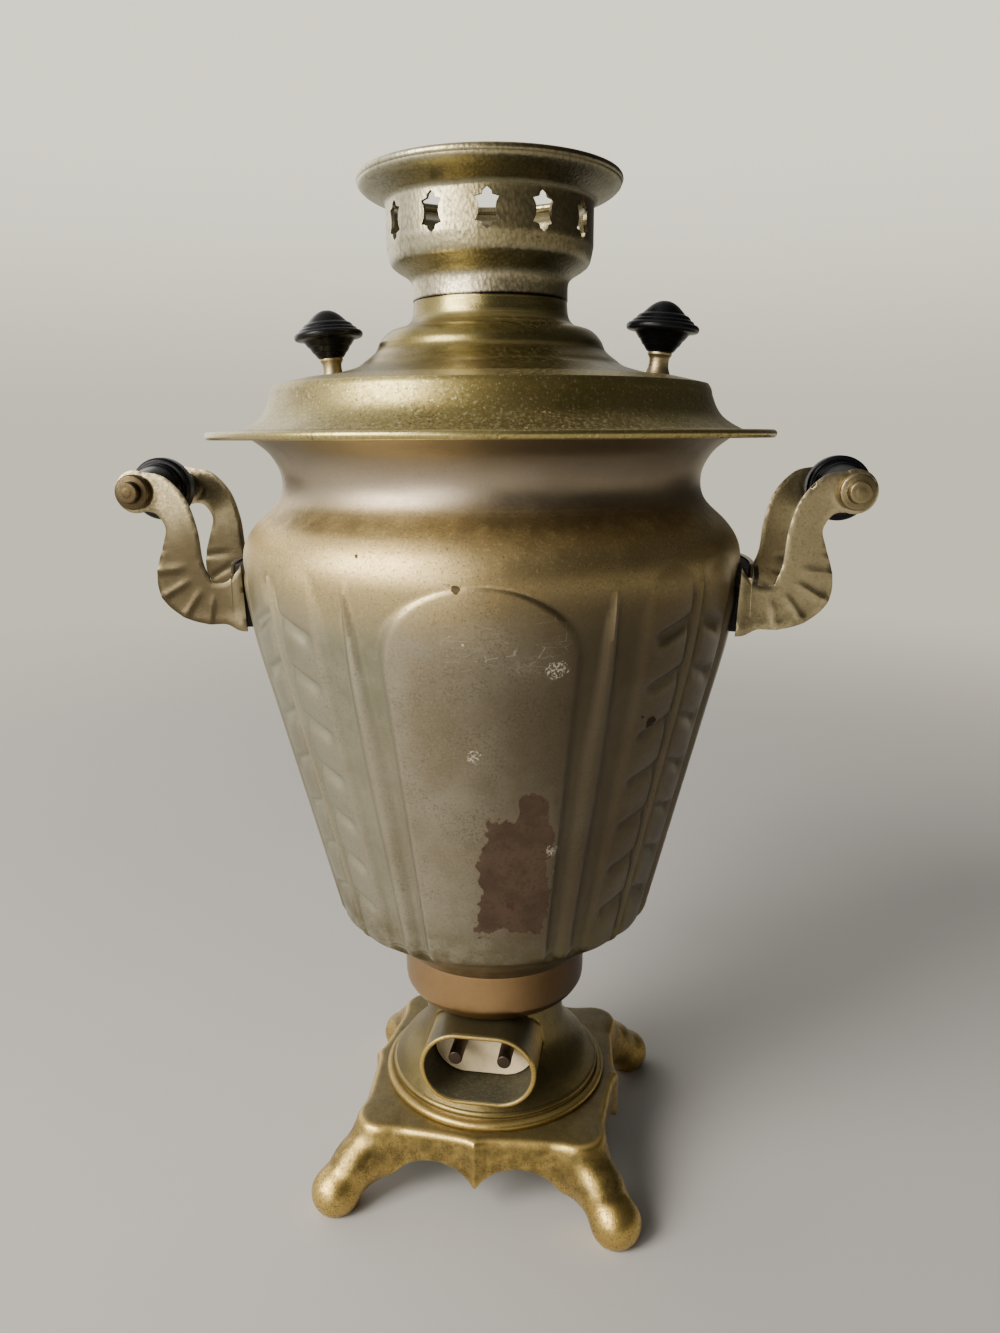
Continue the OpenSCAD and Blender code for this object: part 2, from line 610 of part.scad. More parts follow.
// Grips, on a rod between the arms
grip_half = (arm_spacing - bracket_t) / 2 - 0.1;
grip_side = [[grip_disc_r, 0], [grip_disc_r, 2], [grip_disc_r - 0.9, 3.1], [grip_disc_r - 2.3, 3.2],
  [grip_disc_r - 2.3, 5.4], [grip_disc_r - 3.1, 6.2], [grip_disc_r - 3.1, 7], [grip_end_r + 3.2, 8],
  [grip_end_r + 2.4, 12], [grip_end_r + 1.4, 16], [grip_end_r + 0.3, 20], [grip_end_r, grip_half]];
module at_rod(x) with_tank() translate([x, 0, z_eye]) rotate([90, 0, 0]) children();
module grip() difference() {
  rotate_extrude() polygon(concat([for (q = reverse(grip_side)) [q[0], -q[1]]], grip_side,
    [[0, grip_half], [0, -grip_half]]));
  cylinder(r = grip_rod_r + thread_gap, h = 3 * arm_spacing, center = true);
}
module right_grip() color("#151519") at_rod(eye_x) grip();
module left_grip() color("#151519") at_rod(-eye_x) grip();
cap_r = 6.3;
cap_t = 3.5;
stub_r = 3.75;
arm_out = (arm_spacing + bracket_t) / 2;
module grip_rod() cylinder(r = grip_rod_r, h = 2 * (arm_out + 2 * cap_t - 1), center = true);
module right_grip_rod() color("#8c8c88") at_rod(eye_x) grip_rod();
module left_grip_rod() color("#8c8c88") at_rod(-eye_x) grip_rod();
module grip_nuts() color("#857a4c") for (x = [-eye_x, eye_x]) at_rod(x) for (s = [0, 1]) mirror([0, 0, s])
  translate([0, 0, arm_out]) difference() {
    union() {
      cylinder(r = cap_r, h = cap_t);
      cylinder(r = stub_r, h = 2 * cap_t);
    }
    translate([0, 0, -1]) cylinder(r = grip_rod_r + thread_gap, h = 2 * cap_t + 0.2);
  }

// ---- Tap ----
plug_y = tap_seat + plug_reach;
barrel_r = plug_r + 4;
spout_r = water_r + 2.8;
bend_r = 12;
spout_y = plug_y + spout_reach;
spout_low = z_tap - 2 * bend_r;
tap_gasket_t = 1.5;
inner_face = tap_seat - tap_boss_depth;
tap_nut_h = 5;
module bend(r) translate([0, spout_y - bend_r, z_tap - bend_r]) rotate([90, 0, 90])
  rotate_extrude(angle = 90) translate([bend_r, 0]) circle(r = r);
module spout(r, low) {
  along_y(r, plug_y, spout_y - bend_r, 0, z_tap);
  bend(r);
  translate([0, spout_y, low]) cylinder(r = r, h = z_tap - bend_r - low);
}
module tap_body() color("#9a8040") with_tank() difference() {
  union() {
    along_y(shank_r, inner_face - tap_nut_h - 2, tap_seat + tap_gasket_t + 1, 0, z_tap);
    along_y(tap_seat_r + 4, tap_seat + tap_gasket_t, tap_seat + tap_gasket_t + 2, 0, z_tap);
    along_y(tap_seat_r, tap_seat + tap_gasket_t + 1, tap_seat + tap_gasket_t + 4, 0, z_tap);
    along_y(shank_r + 1, tap_seat + tap_gasket_t + 3, plug_y, 0, z_tap);
    translate([0, plug_y, z_tap - barrel_h / 2]) cylinder(r = barrel_r, h = barrel_h);
    spout(spout_r, spout_low);
    translate([0, spout_y, spout_low]) cylinder(r = spout_r + 0.8, h = 4);
  }
  along_y(water_r, 0, plug_y, 0, z_tap);
  spout(water_r, spout_low - 1);
  translate([0, plug_y, 0]) cylinder(r = plug_r + plug_fit, h = 2 * z_tap);
}
module tap_gasket() color("#703828") with_tank() difference() {
  along_y(tap_seat_r - 0.5, tap_seat, tap_seat + tap_gasket_t, 0, z_tap);
  along_y(shank_r + thread_gap, 0, 2 * tap_seat, 0, z_tap);
}
module tap_nut() color("#b0a070") with_tank() translate([0, inner_face, z_tap]) rotate([90, 0, 0])
  hex_nut(1.7 * shank_r, shank_r + thread_gap, tap_nut_h);

// The plug turns about an upright axis through the barrel
plug_stem_r = 4.5;
plug_tail_r = 3;
plug_head_t = 2.5;
stem_top = z_tap + barrel_h / 2 + plug_head_t + 10;
washer_t = 1;
plug_low = z_tap - barrel_h / 2 - thread_gap;
module tap_plug() color("#9a8040") with_tank() translate([0, plug_y, 0]) difference() {
  union() {
    translate([0, 0, z_tap - barrel_h / 2]) cylinder(r = plug_r, h = barrel_h + plug_head_t);
    translate([0, 0, z_tap + barrel_h / 2 + thread_gap]) cylinder(r = barrel_r - 1, h = plug_head_t - thread_gap);
    translate([0, 0, z_tap]) cylinder(r = plug_stem_r, h = stem_top - z_tap);
    translate([0, 0, plug_low - 7]) cylinder(r = plug_tail_r, h = 20);
  }
  translate([-2 * plug_r, 0, z_tap]) rotate([0, 90, 0]) cylinder(r = water_r, h = 4 * plug_r);
}
module plug_washer() color("#8c8c88") with_tank() translate([0, plug_y, 0])
  ring(plug_tail_r + thread_gap, barrel_r - 2, plug_low - washer_t, plug_low);
module plug_nut() color("#8c8c88") with_tank() translate([0, plug_y, plug_low - washer_t - 4])
  hex_nut(2 * plug_tail_r, plug_tail_r + thread_gap, 4);
key_t = 6;
key_w = 13;
module tap_key() color("#151519") with_tank() translate([0, plug_y, stem_top - 8]) difference() {
  union() {
    cylinder(r = plug_stem_r + 2.5, h = 11);
    intersection() {
      rotate([90, 0, 0]) linear_extrude(key_t, center = true) polygon(concat(
        spline([[4, 6], [7, 11], [key_w, key_h * 0.6], [key_w - 1, key_h - 5], [6, key_h], [0, key_h - 2]], 4),
        spline([[0, key_h - 2], [-6, key_h], [1 - key_w, key_h - 5], [-key_w, key_h * 0.6], [-7, 11], [-4, 6]], 4)));
      cylinder(r = key_w + 1, h = key_h + 1);
    }
  }
  translate([0, 0, -1]) cylinder(r = plug_stem_r + thread_gap, h = 9);
}

// ---- Lid ----
lid_edge_r = lid_recess_r - lid_gap;
step_r = lid_neck_r + 14;
lid_line = concat([[lid_edge_r, z_seat], [lid_edge_r - 3.5, z_seat]], spline([[lid_edge_r - 7, z_seat + 0.8],
  [step_r + 7.9, z_seat + 3.9], [step_r + 3.7, z_seat + 6.6], [step_r, z_seat + 9.7], [step_r - 1.7, z_seat + 13.2],
  [step_r - 5.1, z_seat + 16.6], [lid_neck_r + 3.4, z_seat + 18.4], [lid_neck_r + 0.7, z_seat + 21.2],
  [lid_neck_r, z_seam - 1]], 3), [[lid_neck_r, z_seam]]);
spigot_r = lid_neck_r - sheet - crown_gap + 0.2;
steam_r = 2.5;
module lid() color("#8a7a3a") difference() {
  union() {
    turned(skin(lid_line, sheet));
    ring(spigot_r - sheet, lid_neck_r, z_seam - sheet, z_seam);
    ring(spigot_r - sheet, spigot_r, z_seam - sheet / 2, z_seam + spigot_h);
    translate([0, 0, z_seam + spigot_h - sheet]) cylinder(r = spigot_r - sheet / 2, h = sheet);
  }
  for (k = [0 : steam_holes - 1]) rotate([0, 0, 360 * k / steam_holes])
    translate([spigot_r / 2, 0, z_seam]) cylinder(r = steam_r, h = 2 * spigot_h);
  for (s = [-1, 1]) at_knob(s) cylinder(r = stud_r + hole_gap, h = 20, center = true);
}

module lid_skirt() color("#8a7a3a") ring(mouth_r - joint_gap - sheet, mouth_r - joint_gap,
  z_seat - skirt_h, z_seat - sheet);

// ---- Knobs ----
stud_r = 1.5;
stud_low = -6;
knob_nut_h = 2.5;
stud_in_knob = 6;
z_knob = r_z(knob_place) + 0.1;
// Height of the lid's upper face at radius r
function r_z(r) = lookup(r, [for (q = reverse(lid_line)) [q[0], q[1]]]);
module at_knob(s) rotate([0, 0, lid_turn]) translate([s * knob_place, 0, z_knob]) rotate([0, s * knob_tilt, 0]) children();
module stem(s) {
  difference() {
    at_knob(s) rotate_extrude() polygon([[0, -1.5], [4.5, -1.5], [4.5, 0.4], [3.45, 2.6], [3.45, stem_h - 1.8],
      [4.2, stem_h - 1.8], [4.2, stem_h], [0, stem_h]]);
    turned(concat([[0, z_seat - 20], [lid_edge_r, z_seat - 20]], lid_line, [[0, z_seam]]));
  }
  at_knob(s) translate([0, 0, stud_low]) cylinder(r = stud_r, h = stem_h + stud_in_knob - stud_low);
}
module left_knob_stem() color("#a8884c") stem(-1);
module right_knob_stem() color("#a8884c") stem(1);
knob_line = [[4.7, 0], [5.4, 1.9], [6.6, 2.1], [7.6, 4.3], [knob_r - 4.3, 4.5], [knob_r - 3.4, 6.7],
  [knob_r - 0.6, 7], [knob_r, 7.6], [knob_r, 9], [knob_r - 0.7, 9.6], [knob_r - 2.3, 9.8], [knob_r - 2.7, 11],
  [knob_r - 3.9, 11.3], [knob_r - 4.5, 12.4], [6.4, 12.8], [6, knob_h - 2.2], [4.6, knob_h - 0.6], [2.4, knob_h],
  [0, knob_h], [0, 0]];
module knob(s) at_knob(s) translate([0, 0, stem_h]) difference() {
  rotate_extrude() polygon(knob_line);
  translate([0, 0, -1]) cylinder(r = stud_r + thread_gap, h = stud_in_knob + 1.3);
}
module left_knob() color("#151519") knob(-1);
module right_knob() color("#151519") knob(1);
module knob_nuts() color("#8c8c88") for (s = [-1, 1]) at_knob(s)
  translate([0, 0, -sheet - 1 - knob_nut_h]) hex_nut(2.05 * stud_r, stud_r + thread_gap, knob_nut_h);

// ---- Crown ----
crown_neck_r = lid_neck_r + 0.2;
crown_line = concat([[crown_neck_r, z_seam]], spline([[crown_neck_r, z_seam + 4.5],
  [crown_neck_r + 0.5, z_seam + 6.8], [crown_neck_r + 2.4, z_seam + 8.7], [crown_r - 3.2, z_seam + 10.7],
  [crown_r - 1.2, z_seam + 12.8], [crown_r, z_seam + 18]], 3),
  spline([[crown_r, z_rim - 10.7], [crown_r + 0.4, z_rim - 8.8], [crown_r + 3.2, z_rim - 7.2],
  [crown_rim_r - 3.1, z_rim - 5.5], [crown_rim_r - 0.9, z_rim - 3.7], [crown_rim_r - 0.2, z_rim - 1.8]], 3));
star_z = z_rim - 16.9;
star_side = [[0, star_h / 2], [1.4, star_h / 2 - 1.1], [1.7, 4.2], [star_w / 2, 3.6], [3, 1.8], [2.75, 0]];
star_half = concat(star_side, [for (i = [4 : -1 : 0]) [star_side[i][0], -star_side[i][1]]]);
star_outline = concat(star_half, [for (i = [len(star_half) - 2 : -1 : 1]) [-star_half[i][0], star_half[i][1]]]);
rim_bead_r = 1.5;
module crown() color("#857a4c") difference() {
  union() {
    turned(skin(crown_line, sheet));
    rotate_extrude() translate([crown_rim_r - rim_bead_r, z_rim - rim_bead_r]) circle(r = rim_bead_r);
  }
  for (k = [0 : stars - 1]) rotate([0, 0, star_turn + 360 * k / stars]) translate([0, -crown_r / 2, star_z])
    rotate([90, 0, 0]) linear_extrude(crown_r) polygon(star_outline);
}

base();
dome();
base_cover();
tie_rod();
tie_nut();
collar();
pan();
body();
neck();
tank_bottom();
rim_ring();
heating_element();
heater_gaskets();
heater_nuts();
left_lead();
right_lead();
inlet_shroud();
inlet_insulator();
left_inlet_pin();
right_inlet_pin();
pin_nuts();
left_handle_bracket();
right_handle_bracket();
left_handle_pad();
right_handle_pad();
handle_screws();
handle_nuts();
left_grip();
right_grip();
left_grip_rod();
right_grip_rod();
grip_nuts();
tap_body();
tap_gasket();
tap_nut();
tap_plug();
tap_key();
plug_washer();
plug_nut();
lid();
lid_skirt();
left_knob();
right_knob();
left_knob_stem();
right_knob_stem();
knob_nuts();
crown();
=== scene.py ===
"""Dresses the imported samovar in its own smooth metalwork, mouldings and finishes."""
from functools import reduce
from math import cos, degrees, pi, radians, sin

import bmesh
import bpy
import numpy as np
from bpy.props import FloatProperty, FloatVectorProperty, IntProperty, PointerProperty
from mathutils import Matrix, Vector
from mathutils.geometry import delaunay_2d_cdt


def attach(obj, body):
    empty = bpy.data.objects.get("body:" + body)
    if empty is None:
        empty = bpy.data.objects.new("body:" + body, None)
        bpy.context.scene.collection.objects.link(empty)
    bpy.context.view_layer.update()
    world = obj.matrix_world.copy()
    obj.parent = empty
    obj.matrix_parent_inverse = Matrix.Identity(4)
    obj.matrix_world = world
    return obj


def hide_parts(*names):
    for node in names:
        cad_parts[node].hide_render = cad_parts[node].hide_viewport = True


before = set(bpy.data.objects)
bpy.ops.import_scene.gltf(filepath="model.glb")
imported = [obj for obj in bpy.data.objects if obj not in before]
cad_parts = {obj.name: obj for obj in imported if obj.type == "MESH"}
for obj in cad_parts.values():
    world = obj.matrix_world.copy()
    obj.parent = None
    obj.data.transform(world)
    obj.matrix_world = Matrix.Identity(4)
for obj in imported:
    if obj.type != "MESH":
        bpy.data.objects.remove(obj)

bl_info = {
    "name": "Electric samovar",
    "version": (1, 0, 0),
    "blender": (4, 5, 0),
    "location": "View3D > Sidebar > Samovar",
    "description": "Embossed tank, ring, lid, crown, base, handles, inlet and tap of a three-litre samovar",
    "category": "Add Mesh",
}

# Lengths in the shape code are in millimetres, and become metres in piece().
MM = 0.001
SHEET = 1.2            # thickness of the brass sheet
TANK_TURN = 4.5        # degrees that the tank, its handles and its tap are turned on the base
LID_TURN = -1.5        # degrees that the lid's knobs are turned

# Heights above the table: seams between the pieces, then middles of eyes, inlet, pins, tap and stars
Z_PLATE, Z_COLLAR, Z_BODY, Z_PAN, Z_CONE = 33.0, 72.0, 93.4, 114.0, 201.0
Z_NECK, Z_BRIM, Z_RING, Z_SEAT, Z_SEAM = 292.2, 293.4, 310.4, 312.6, 339.6
Z_EYE, Z_INLET, Z_PIN, Z_TAP, Z_STAR = 274.0, 56.9, 58.4, 134.0, 363.9

# Reaches from the axis: the crown's wall, the grips, the pins, the arms' sheets and the knobs
R_CROWN, X_GRIP, X_PIN, Y_ARM, X_KNOB = 36.6, 126.5, 9.5, 24.0, 60.0
INLET_WIDTH, INLET_HEIGHT, OVAL_POINTS = 44.6, 29.6, 96
PLUG_Y, SPOUT_Y, TAP_SEAT, KEY_SEAT = 103.0, 130.0, 76.0, 27.5

LOW_WALL = 0.6         # brightness of the stage's wall at the floor, as a share of its brightness above


# ---- Lines and outlines ----
def curve(points, steps=6):
    """Smooth line through the points."""
    p = np.asarray(points, float)
    out = []
    for i in range(len(p) - 1):
        a, b, c, d = p[max(i - 1, 0)], p[i], p[i + 1], p[min(i + 2, len(p) - 1)]
        for k in range(steps):
            t = k / steps
            out.append(0.5 * (2 * b + (c - a) * t + (2 * a - 5 * b + 4 * c - d) * t * t
                              + (3 * b - a - 3 * c + d) * t ** 3))
    return np.array(out + [p[-1]])


def eased(points, radius, steps=3):
    """The line with its corners rounded."""
    p = np.asarray(points, float)
    out = [p[0]]
    for before, here, after in zip(p, p[1:], p[2:]):
        u, v = before - here, after - here
        lu, lv = np.linalg.norm(u), np.linalg.norm(v)
        cut = min(radius, 0.45 * lu, 0.45 * lv)
        a, b = here + u / lu * cut, here + v / lv * cut
        for k in range(steps + 1):
            t = k / steps
            out.append(a * (1 - t) ** 2 + 2 * here * t * (1 - t) + b * t * t)
    return np.array(out + [p[-1]])


def beside(line, distance):
    """The line moved to its left."""
    p = np.asarray(line, float)
    along = np.gradient(p, axis=0)
    along /= np.linalg.norm(along, axis=1)[:, None]
    return p + distance * np.stack([-along[:, 1], along[:, 0]], 1)


def skin(line, thickness):
    """Closed outline of a sheet on the left of the line."""
    return np.concatenate([line, beside(line, thickness)[::-1]])


def arc(centre, radius, start, end, steps):
    """Points from one angle to another, in degrees."""
    a = np.radians(np.linspace(start, end, steps + 1))
    return np.stack([centre[0] + radius * np.cos(a), centre[1] + radius * np.sin(a)], 1)


def circle(centre, radius, steps):
    """Points of a closed loop, the first given once."""
    return arc(centre, radius, 0, 360, steps)[:-1]


def along_line(line, spacing):
    """The line with points added, so that no two are further apart than the spacing."""
    p = np.asarray(line, float)
    out = [p[0]]
    for a, b in zip(p[:-1], p[1:]):
        n = max(1, int(np.ceil(np.linalg.norm(b - a) / spacing)))
        out += [a + (b - a) * k / n for k in range(1, n + 1)]
    return np.array(out)


# ---- Meshes as (corners, faces) ----
def lathe(outline, columns):
    """Closed (radius, height) outline turned about the axis."""
    corners, rings, faces = [], [], []
    angles = 2 * pi * np.arange(columns) / columns
    for r, z in outline:
        if r < 1e-6:
            rings.append([len(corners)] * columns)
            corners.append((0.0, 0.0, z))
        else:
            rings.append(list(range(len(corners), len(corners) + columns)))
            corners += [(r * cos(a), r * sin(a), z) for a in angles]
    for i in range(len(outline)):
        a, b = rings[i], rings[(i + 1) % len(outline)]
        for k in range(columns):
            m = (k + 1) % columns
            face = list(dict.fromkeys((a[k], a[m], b[m], b[k])))
            if len(face) > 2:
                faces.append(face)
    return np.array(corners), faces


def loft(loops, ring=True):
    """Closed skin through a chain of equal loops of points, which ends where it starts or has two caps."""
    loops = np.asarray(loops, float)
    count, n = loops.shape[:2]
    faces = [(i * n + k, i * n + (k + 1) % n, (i + 1) % count * n + (k + 1) % n, (i + 1) % count * n + k)
             for i in range(count if ring else count - 1) for k in range(n)]
    if not ring:
        faces += [tuple(range(n)), tuple(range((count - 1) * n, count * n))[::-1]]
    return loops.reshape(-1, 3), faces


def joined(*meshes):
    """The meshes as one."""
    corners, faces, start = [], [], 0
    for c, f in meshes:
        corners.append(np.asarray(c, float))
        faces += [tuple(start + i for i in face) for face in f]
        start += len(c)
    return np.concatenate(corners), faces


def turned(mesh, angle, axis="Z"):
    """The mesh turned about an axis through the origin, in degrees."""
    m = np.array(Matrix.Rotation(radians(angle), 3, axis))
    return np.asarray(mesh[0]) @ m.T, mesh[1]


def shifted(mesh, x=0.0, y=0.0, z=0.0):
    return np.asarray(mesh[0]) + (x, y, z), mesh[1]


def mirrored(mesh):
    """The mesh on the other side of the YZ plane."""
    return np.asarray(mesh[0]) * (-1, 1, 1), mesh[1]


def smooth_min(a, b, k):
    """The lesser of two distances, with a fillet of about k where they meet."""
    h = np.clip(0.5 + 0.5 * (b - a) / k, 0, 1)
    return b * (1 - h) + a * h - k * h * (1 - h)


def smooth_max(a, b, k):
    return -smooth_min(-a, -b, k)


def ease(a, b, x):
    """Smooth change from 0 at a to 1 at b."""
    t = np.clip((x - a) / (b - a), 0, 1)
    return t * t * (3 - 2 * t)


def cast(field, low, high, step):
    """Closed surface of quads where the distance field is zero, as a casting comes from its mould."""
    axes = [np.arange(a, b + step, step) for a, b in zip(low, high)]
    grid = np.stack(np.meshgrid(*axes, indexing="ij"), -1)
    value = field(grid[..., 0], grid[..., 1], grid[..., 2])
    cells = np.array(value.shape) - 1
    total, count, edges = np.zeros((*cells, 3)), np.zeros(cells), []
    for axis in range(3):
        lo, hi = [slice(None)] * 3, [slice(None)] * 3
        lo[axis], hi[axis] = slice(None, -1), slice(1, None)
        a, b = value[tuple(lo)], value[tuple(hi)]
        cross = (a < 0) != (b < 0)
        share = np.where(cross, a / np.where(cross, a - b, 1), 0)[..., None]
        place = grid[tuple(lo)] * (1 - share) + grid[tuple(hi)] * share
        others = [i for i in range(3) if i != axis]
        for i in (0, 1):
            for j in (0, 1):
                part = [slice(None)] * 3
                part[others[0]] = slice(i, i + cells[others[0]])
                part[others[1]] = slice(j, j + cells[others[1]])
                total += place[tuple(part)] * cross[tuple(part)][..., None]
                count += cross[tuple(part)]
        edges.append((others, cross, a < 0))
    used = count > 0
    index = np.full(cells, -1)
    index[used] = np.arange(used.sum())
    corners = total[used] / count[used][:, None]
    faces = []
    for axis, (others, cross, inside) in enumerate(edges):
        at = np.argwhere(cross)
        at = at[(at[:, others[0]] > 0) & (at[:, others[1]] > 0)
                & (at[:, others[0]] < cells[others[0]]) & (at[:, others[1]] < cells[others[1]])]
        ring = []
        for i, j in ((1, 1), (0, 1), (0, 0), (1, 0)):
            cell = at.copy()
            cell[:, others[0]] -= i
            cell[:, others[1]] -= j
            ring.append(index[tuple(cell.T)])
        quads = np.stack(ring, 1)
        flip = inside[tuple(at.T)] != (axis == 1)
        quads[~flip] = quads[~flip][:, ::-1]
        faces += quads.tolist()
    h = 0.02
    for _ in range(4):
        x, y, z = corners.T
        f = field(x, y, z)
        slope = np.stack([field(x + h, y, z) - field(x - h, y, z), field(x, y + h, z) - field(x, y - h, z),
                          field(x, y, z + h) - field(x, y, z - h)], 1) / (2 * h)
        move = -f[:, None] * slope / (np.sum(slope ** 2, 1)[:, None] + 1e-3)
        length = np.linalg.norm(move, axis=1)[:, None]
        corners = corners + move * np.minimum(1, 0.5 * step / (length + 1e-9))
    return corners, faces


def hollowness(data):
    """How hollow (above 0) or proud (below 0) the mesh is at each of its corners, per millimetre."""
    n = len(data.vertices)
    place, normal, ends = np.empty(3 * n), np.empty(3 * n), np.empty(2 * len(data.edges), np.int32)
    data.vertices.foreach_get("co", place)
    data.vertices.foreach_get("normal", normal)
    data.edges.foreach_get("vertices", ends)
    place, normal, (a, b) = place.reshape(-1, 3) / MM, normal.reshape(-1, 3), ends.reshape(-1, 2).T
    step = place[b] - place[a]
    length = np.maximum((step ** 2).sum(1), 1e-4)
    count = np.maximum(np.bincount(a, minlength=n) + np.bincount(b, minlength=n), 1)

    def mean(at_a, at_b):
        return (np.bincount(a, at_a, n) + np.bincount(b, at_b, n)) / count
    value = mean(2 * (step * normal[a]).sum(1) / length, -2 * (step * normal[b]).sum(1) / length)
    value = np.clip(value, -1, 1)
    for _ in range(2):
        value = 0.5 * value + 0.5 * mean(value[b], value[a])
    return value


def piece(name, mesh, body, material, nodes=(), sharp=38.0, marks=None):
    """Makes the mesh a shaded object that rides on its body and stands for its nodes."""
    data = bpy.data.meshes.new(name)
    data.from_pydata((np.asarray(mesh[0]) * MM).tolist(), [], [tuple(f) for f in mesh[1]])
    bm = bmesh.new()
    bm.from_mesh(data)
    bmesh.ops.recalc_face_normals(bm, faces=bm.faces)
    bm.to_mesh(data)
    bm.free()
    data.shade_smooth()
    data.set_sharp_from_angle(angle=radians(sharp))
    for label, values in {"wear": hollowness(data), **(marks or {})}.items():
        attribute = data.attributes.new(label, "FLOAT", "POINT")
        attribute.data.foreach_set("value", np.asarray(values, np.float32))
    data.materials.append(material)
    made = bpy.data.objects.new(name, data)
    bpy.context.scene.collection.objects.link(made)
    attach(made, body)
    if nodes:
        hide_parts(*nodes)
    return made


def dress(material, *nodes):
    """Gives CAD nodes a finish."""
    for name in nodes:
        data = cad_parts[name].data
        data.materials.clear()
        data.materials.append(material)


# ---- Finishes ----
class Finish:
    """A material wired from shader nodes, with short calls for what the finishes share."""

    def __init__(self, name, **constants):
        self.material = bpy.data.materials.new(name)
        self.material.use_nodes = True
        tree = self.material.node_tree
        self.nodes, self.links = tree.nodes, tree.links
        self.nodes.clear()
        self.bsdf = self.node("ShaderNodeBsdfPrincipled")
        self.links.new(self.bsdf.outputs[0], self.node("ShaderNodeOutputMaterial").inputs[0])
        self.place = self.node("ShaderNodeTexCoord").outputs["Object"]
        for label, value in constants.items():
            self.set(label.replace("_", " "), value)

    def node(self, kind, **settings):
        made = self.nodes.new(kind)
        for label, value in settings.items():
            setattr(made, label, value)
        return made

    def put(self, socket, value):
        if isinstance(value, bpy.types.NodeSocket):
            self.links.new(value, socket)
        else:
            socket.default_value = (*value, 1.0) if socket.type == "RGBA" else value

    def set(self, label, value):
        self.put(next(s for s in self.bsdf.inputs if s.name.lower() == label.lower()), value)

    def math(self, kind, a, b=0.0, c=0.0, clamp=False):
        made = self.node("ShaderNodeMath", operation=kind, use_clamp=clamp)
        for socket, value in zip(made.inputs, (a, b, c)):
            self.put(socket, value)
        return made.outputs[0]

    def scaled(self, stretch):
        """The place with each axis stretched, for patterns longer one way."""
        made = self.node("ShaderNodeMapping")
        self.put(made.inputs["Vector"], self.place)
        self.put(made.inputs["Scale"], stretch)
        return made.outputs[0]

    def noise(self, size, detail=3.0, rough=0.55, twist=0.0, place=None):
        """Cloudy noise with blotches of about this size in millimetres."""
        made = self.node("ShaderNodeTexNoise")
        self.put(made.inputs["Vector"], place or self.place)
        self.put(made.inputs["Scale"], 1 / (size * MM))
        self.put(made.inputs["Detail"], detail)
        self.put(made.inputs["Roughness"], rough)
        self.put(made.inputs["Distortion"], twist)
        return made.outputs["Fac"]

    def cells(self, size, place, feature="F1"):
        """Cells of about this size in millimetres."""
        made = self.node("ShaderNodeTexVoronoi", feature=feature)
        self.put(made.inputs["Vector"], place)
        self.put(made.inputs["Scale"], 1 / (size * MM))
        return made.outputs["Distance"]

    def step(self, value, low, high, to_low=0.0, to_high=1.0):
        """Smooth change as the value goes from low to high."""
        made = self.node("ShaderNodeMapRange", interpolation_type="SMOOTHSTEP")
        for socket, number in zip(made.inputs, (value, low, high, to_low, to_high)):
            self.put(socket, number)
        return made.outputs[0]

    def mix(self, share, a, b):
        """Colour a with this share of colour b."""
        made = self.node("ShaderNodeMix", data_type="RGBA")
        self.put(made.inputs[0], share)
        self.put(made.inputs[6], a)
        self.put(made.inputs[7], b)
        return made.outputs[2]

    def mark(self, label):
        """A value that the mesh carries at its corners."""
        return self.node("ShaderNodeAttribute", attribute_name=label).outputs["Fac"]

    def axes(self):
        """The place's x, y and z in metres."""
        made = self.node("ShaderNodeSeparateXYZ")
        self.put(made.inputs[0], self.place)
        return made.outputs

    def bump(self, height, distance, normal=None):
        """Relief of this height in millimetres."""
        made = self.node("ShaderNodeBump")
        self.put(made.inputs["Distance"], distance * MM)
        self.put(made.inputs["Height"], height)
        if normal:
            self.put(made.inputs["Normal"], normal)
        return made.outputs[0]

    def add(self, *values):
        return reduce(lambda a, b: self.math("ADD", a, b), values)

    def times(self, *values):
        return reduce(lambda a, b: self.math("MULTIPLY", a, b), values)

    def most(self, *values):
        return reduce(lambda a, b: self.math("MAXIMUM", a, b), values)

    def rest(self, value):
        """What the value leaves of 1."""
        return self.math("SUBTRACT", 1.0, value, clamp=True)

    def off(self, value, middle):
        """How far the value is from its middle, both in metres."""
        return self.math("ABSOLUTE", self.math("SUBTRACT", value, middle))

    def upward(self):
        """How far the surface faces up, from -1 to 1."""
        made = self.node("ShaderNodeSeparateXYZ")
        self.put(made.inputs[0], self.node("ShaderNodeNewGeometry").outputs["Normal"])
        return made.outputs[2]

    def linked(self, label):
        """What the shader's socket takes its value from so far."""
        return self.bsdf.inputs[label].links[0].from_socket


def shade(colour, factor):
    """The colour made darker or lighter."""
    return tuple(c * factor for c in colour)


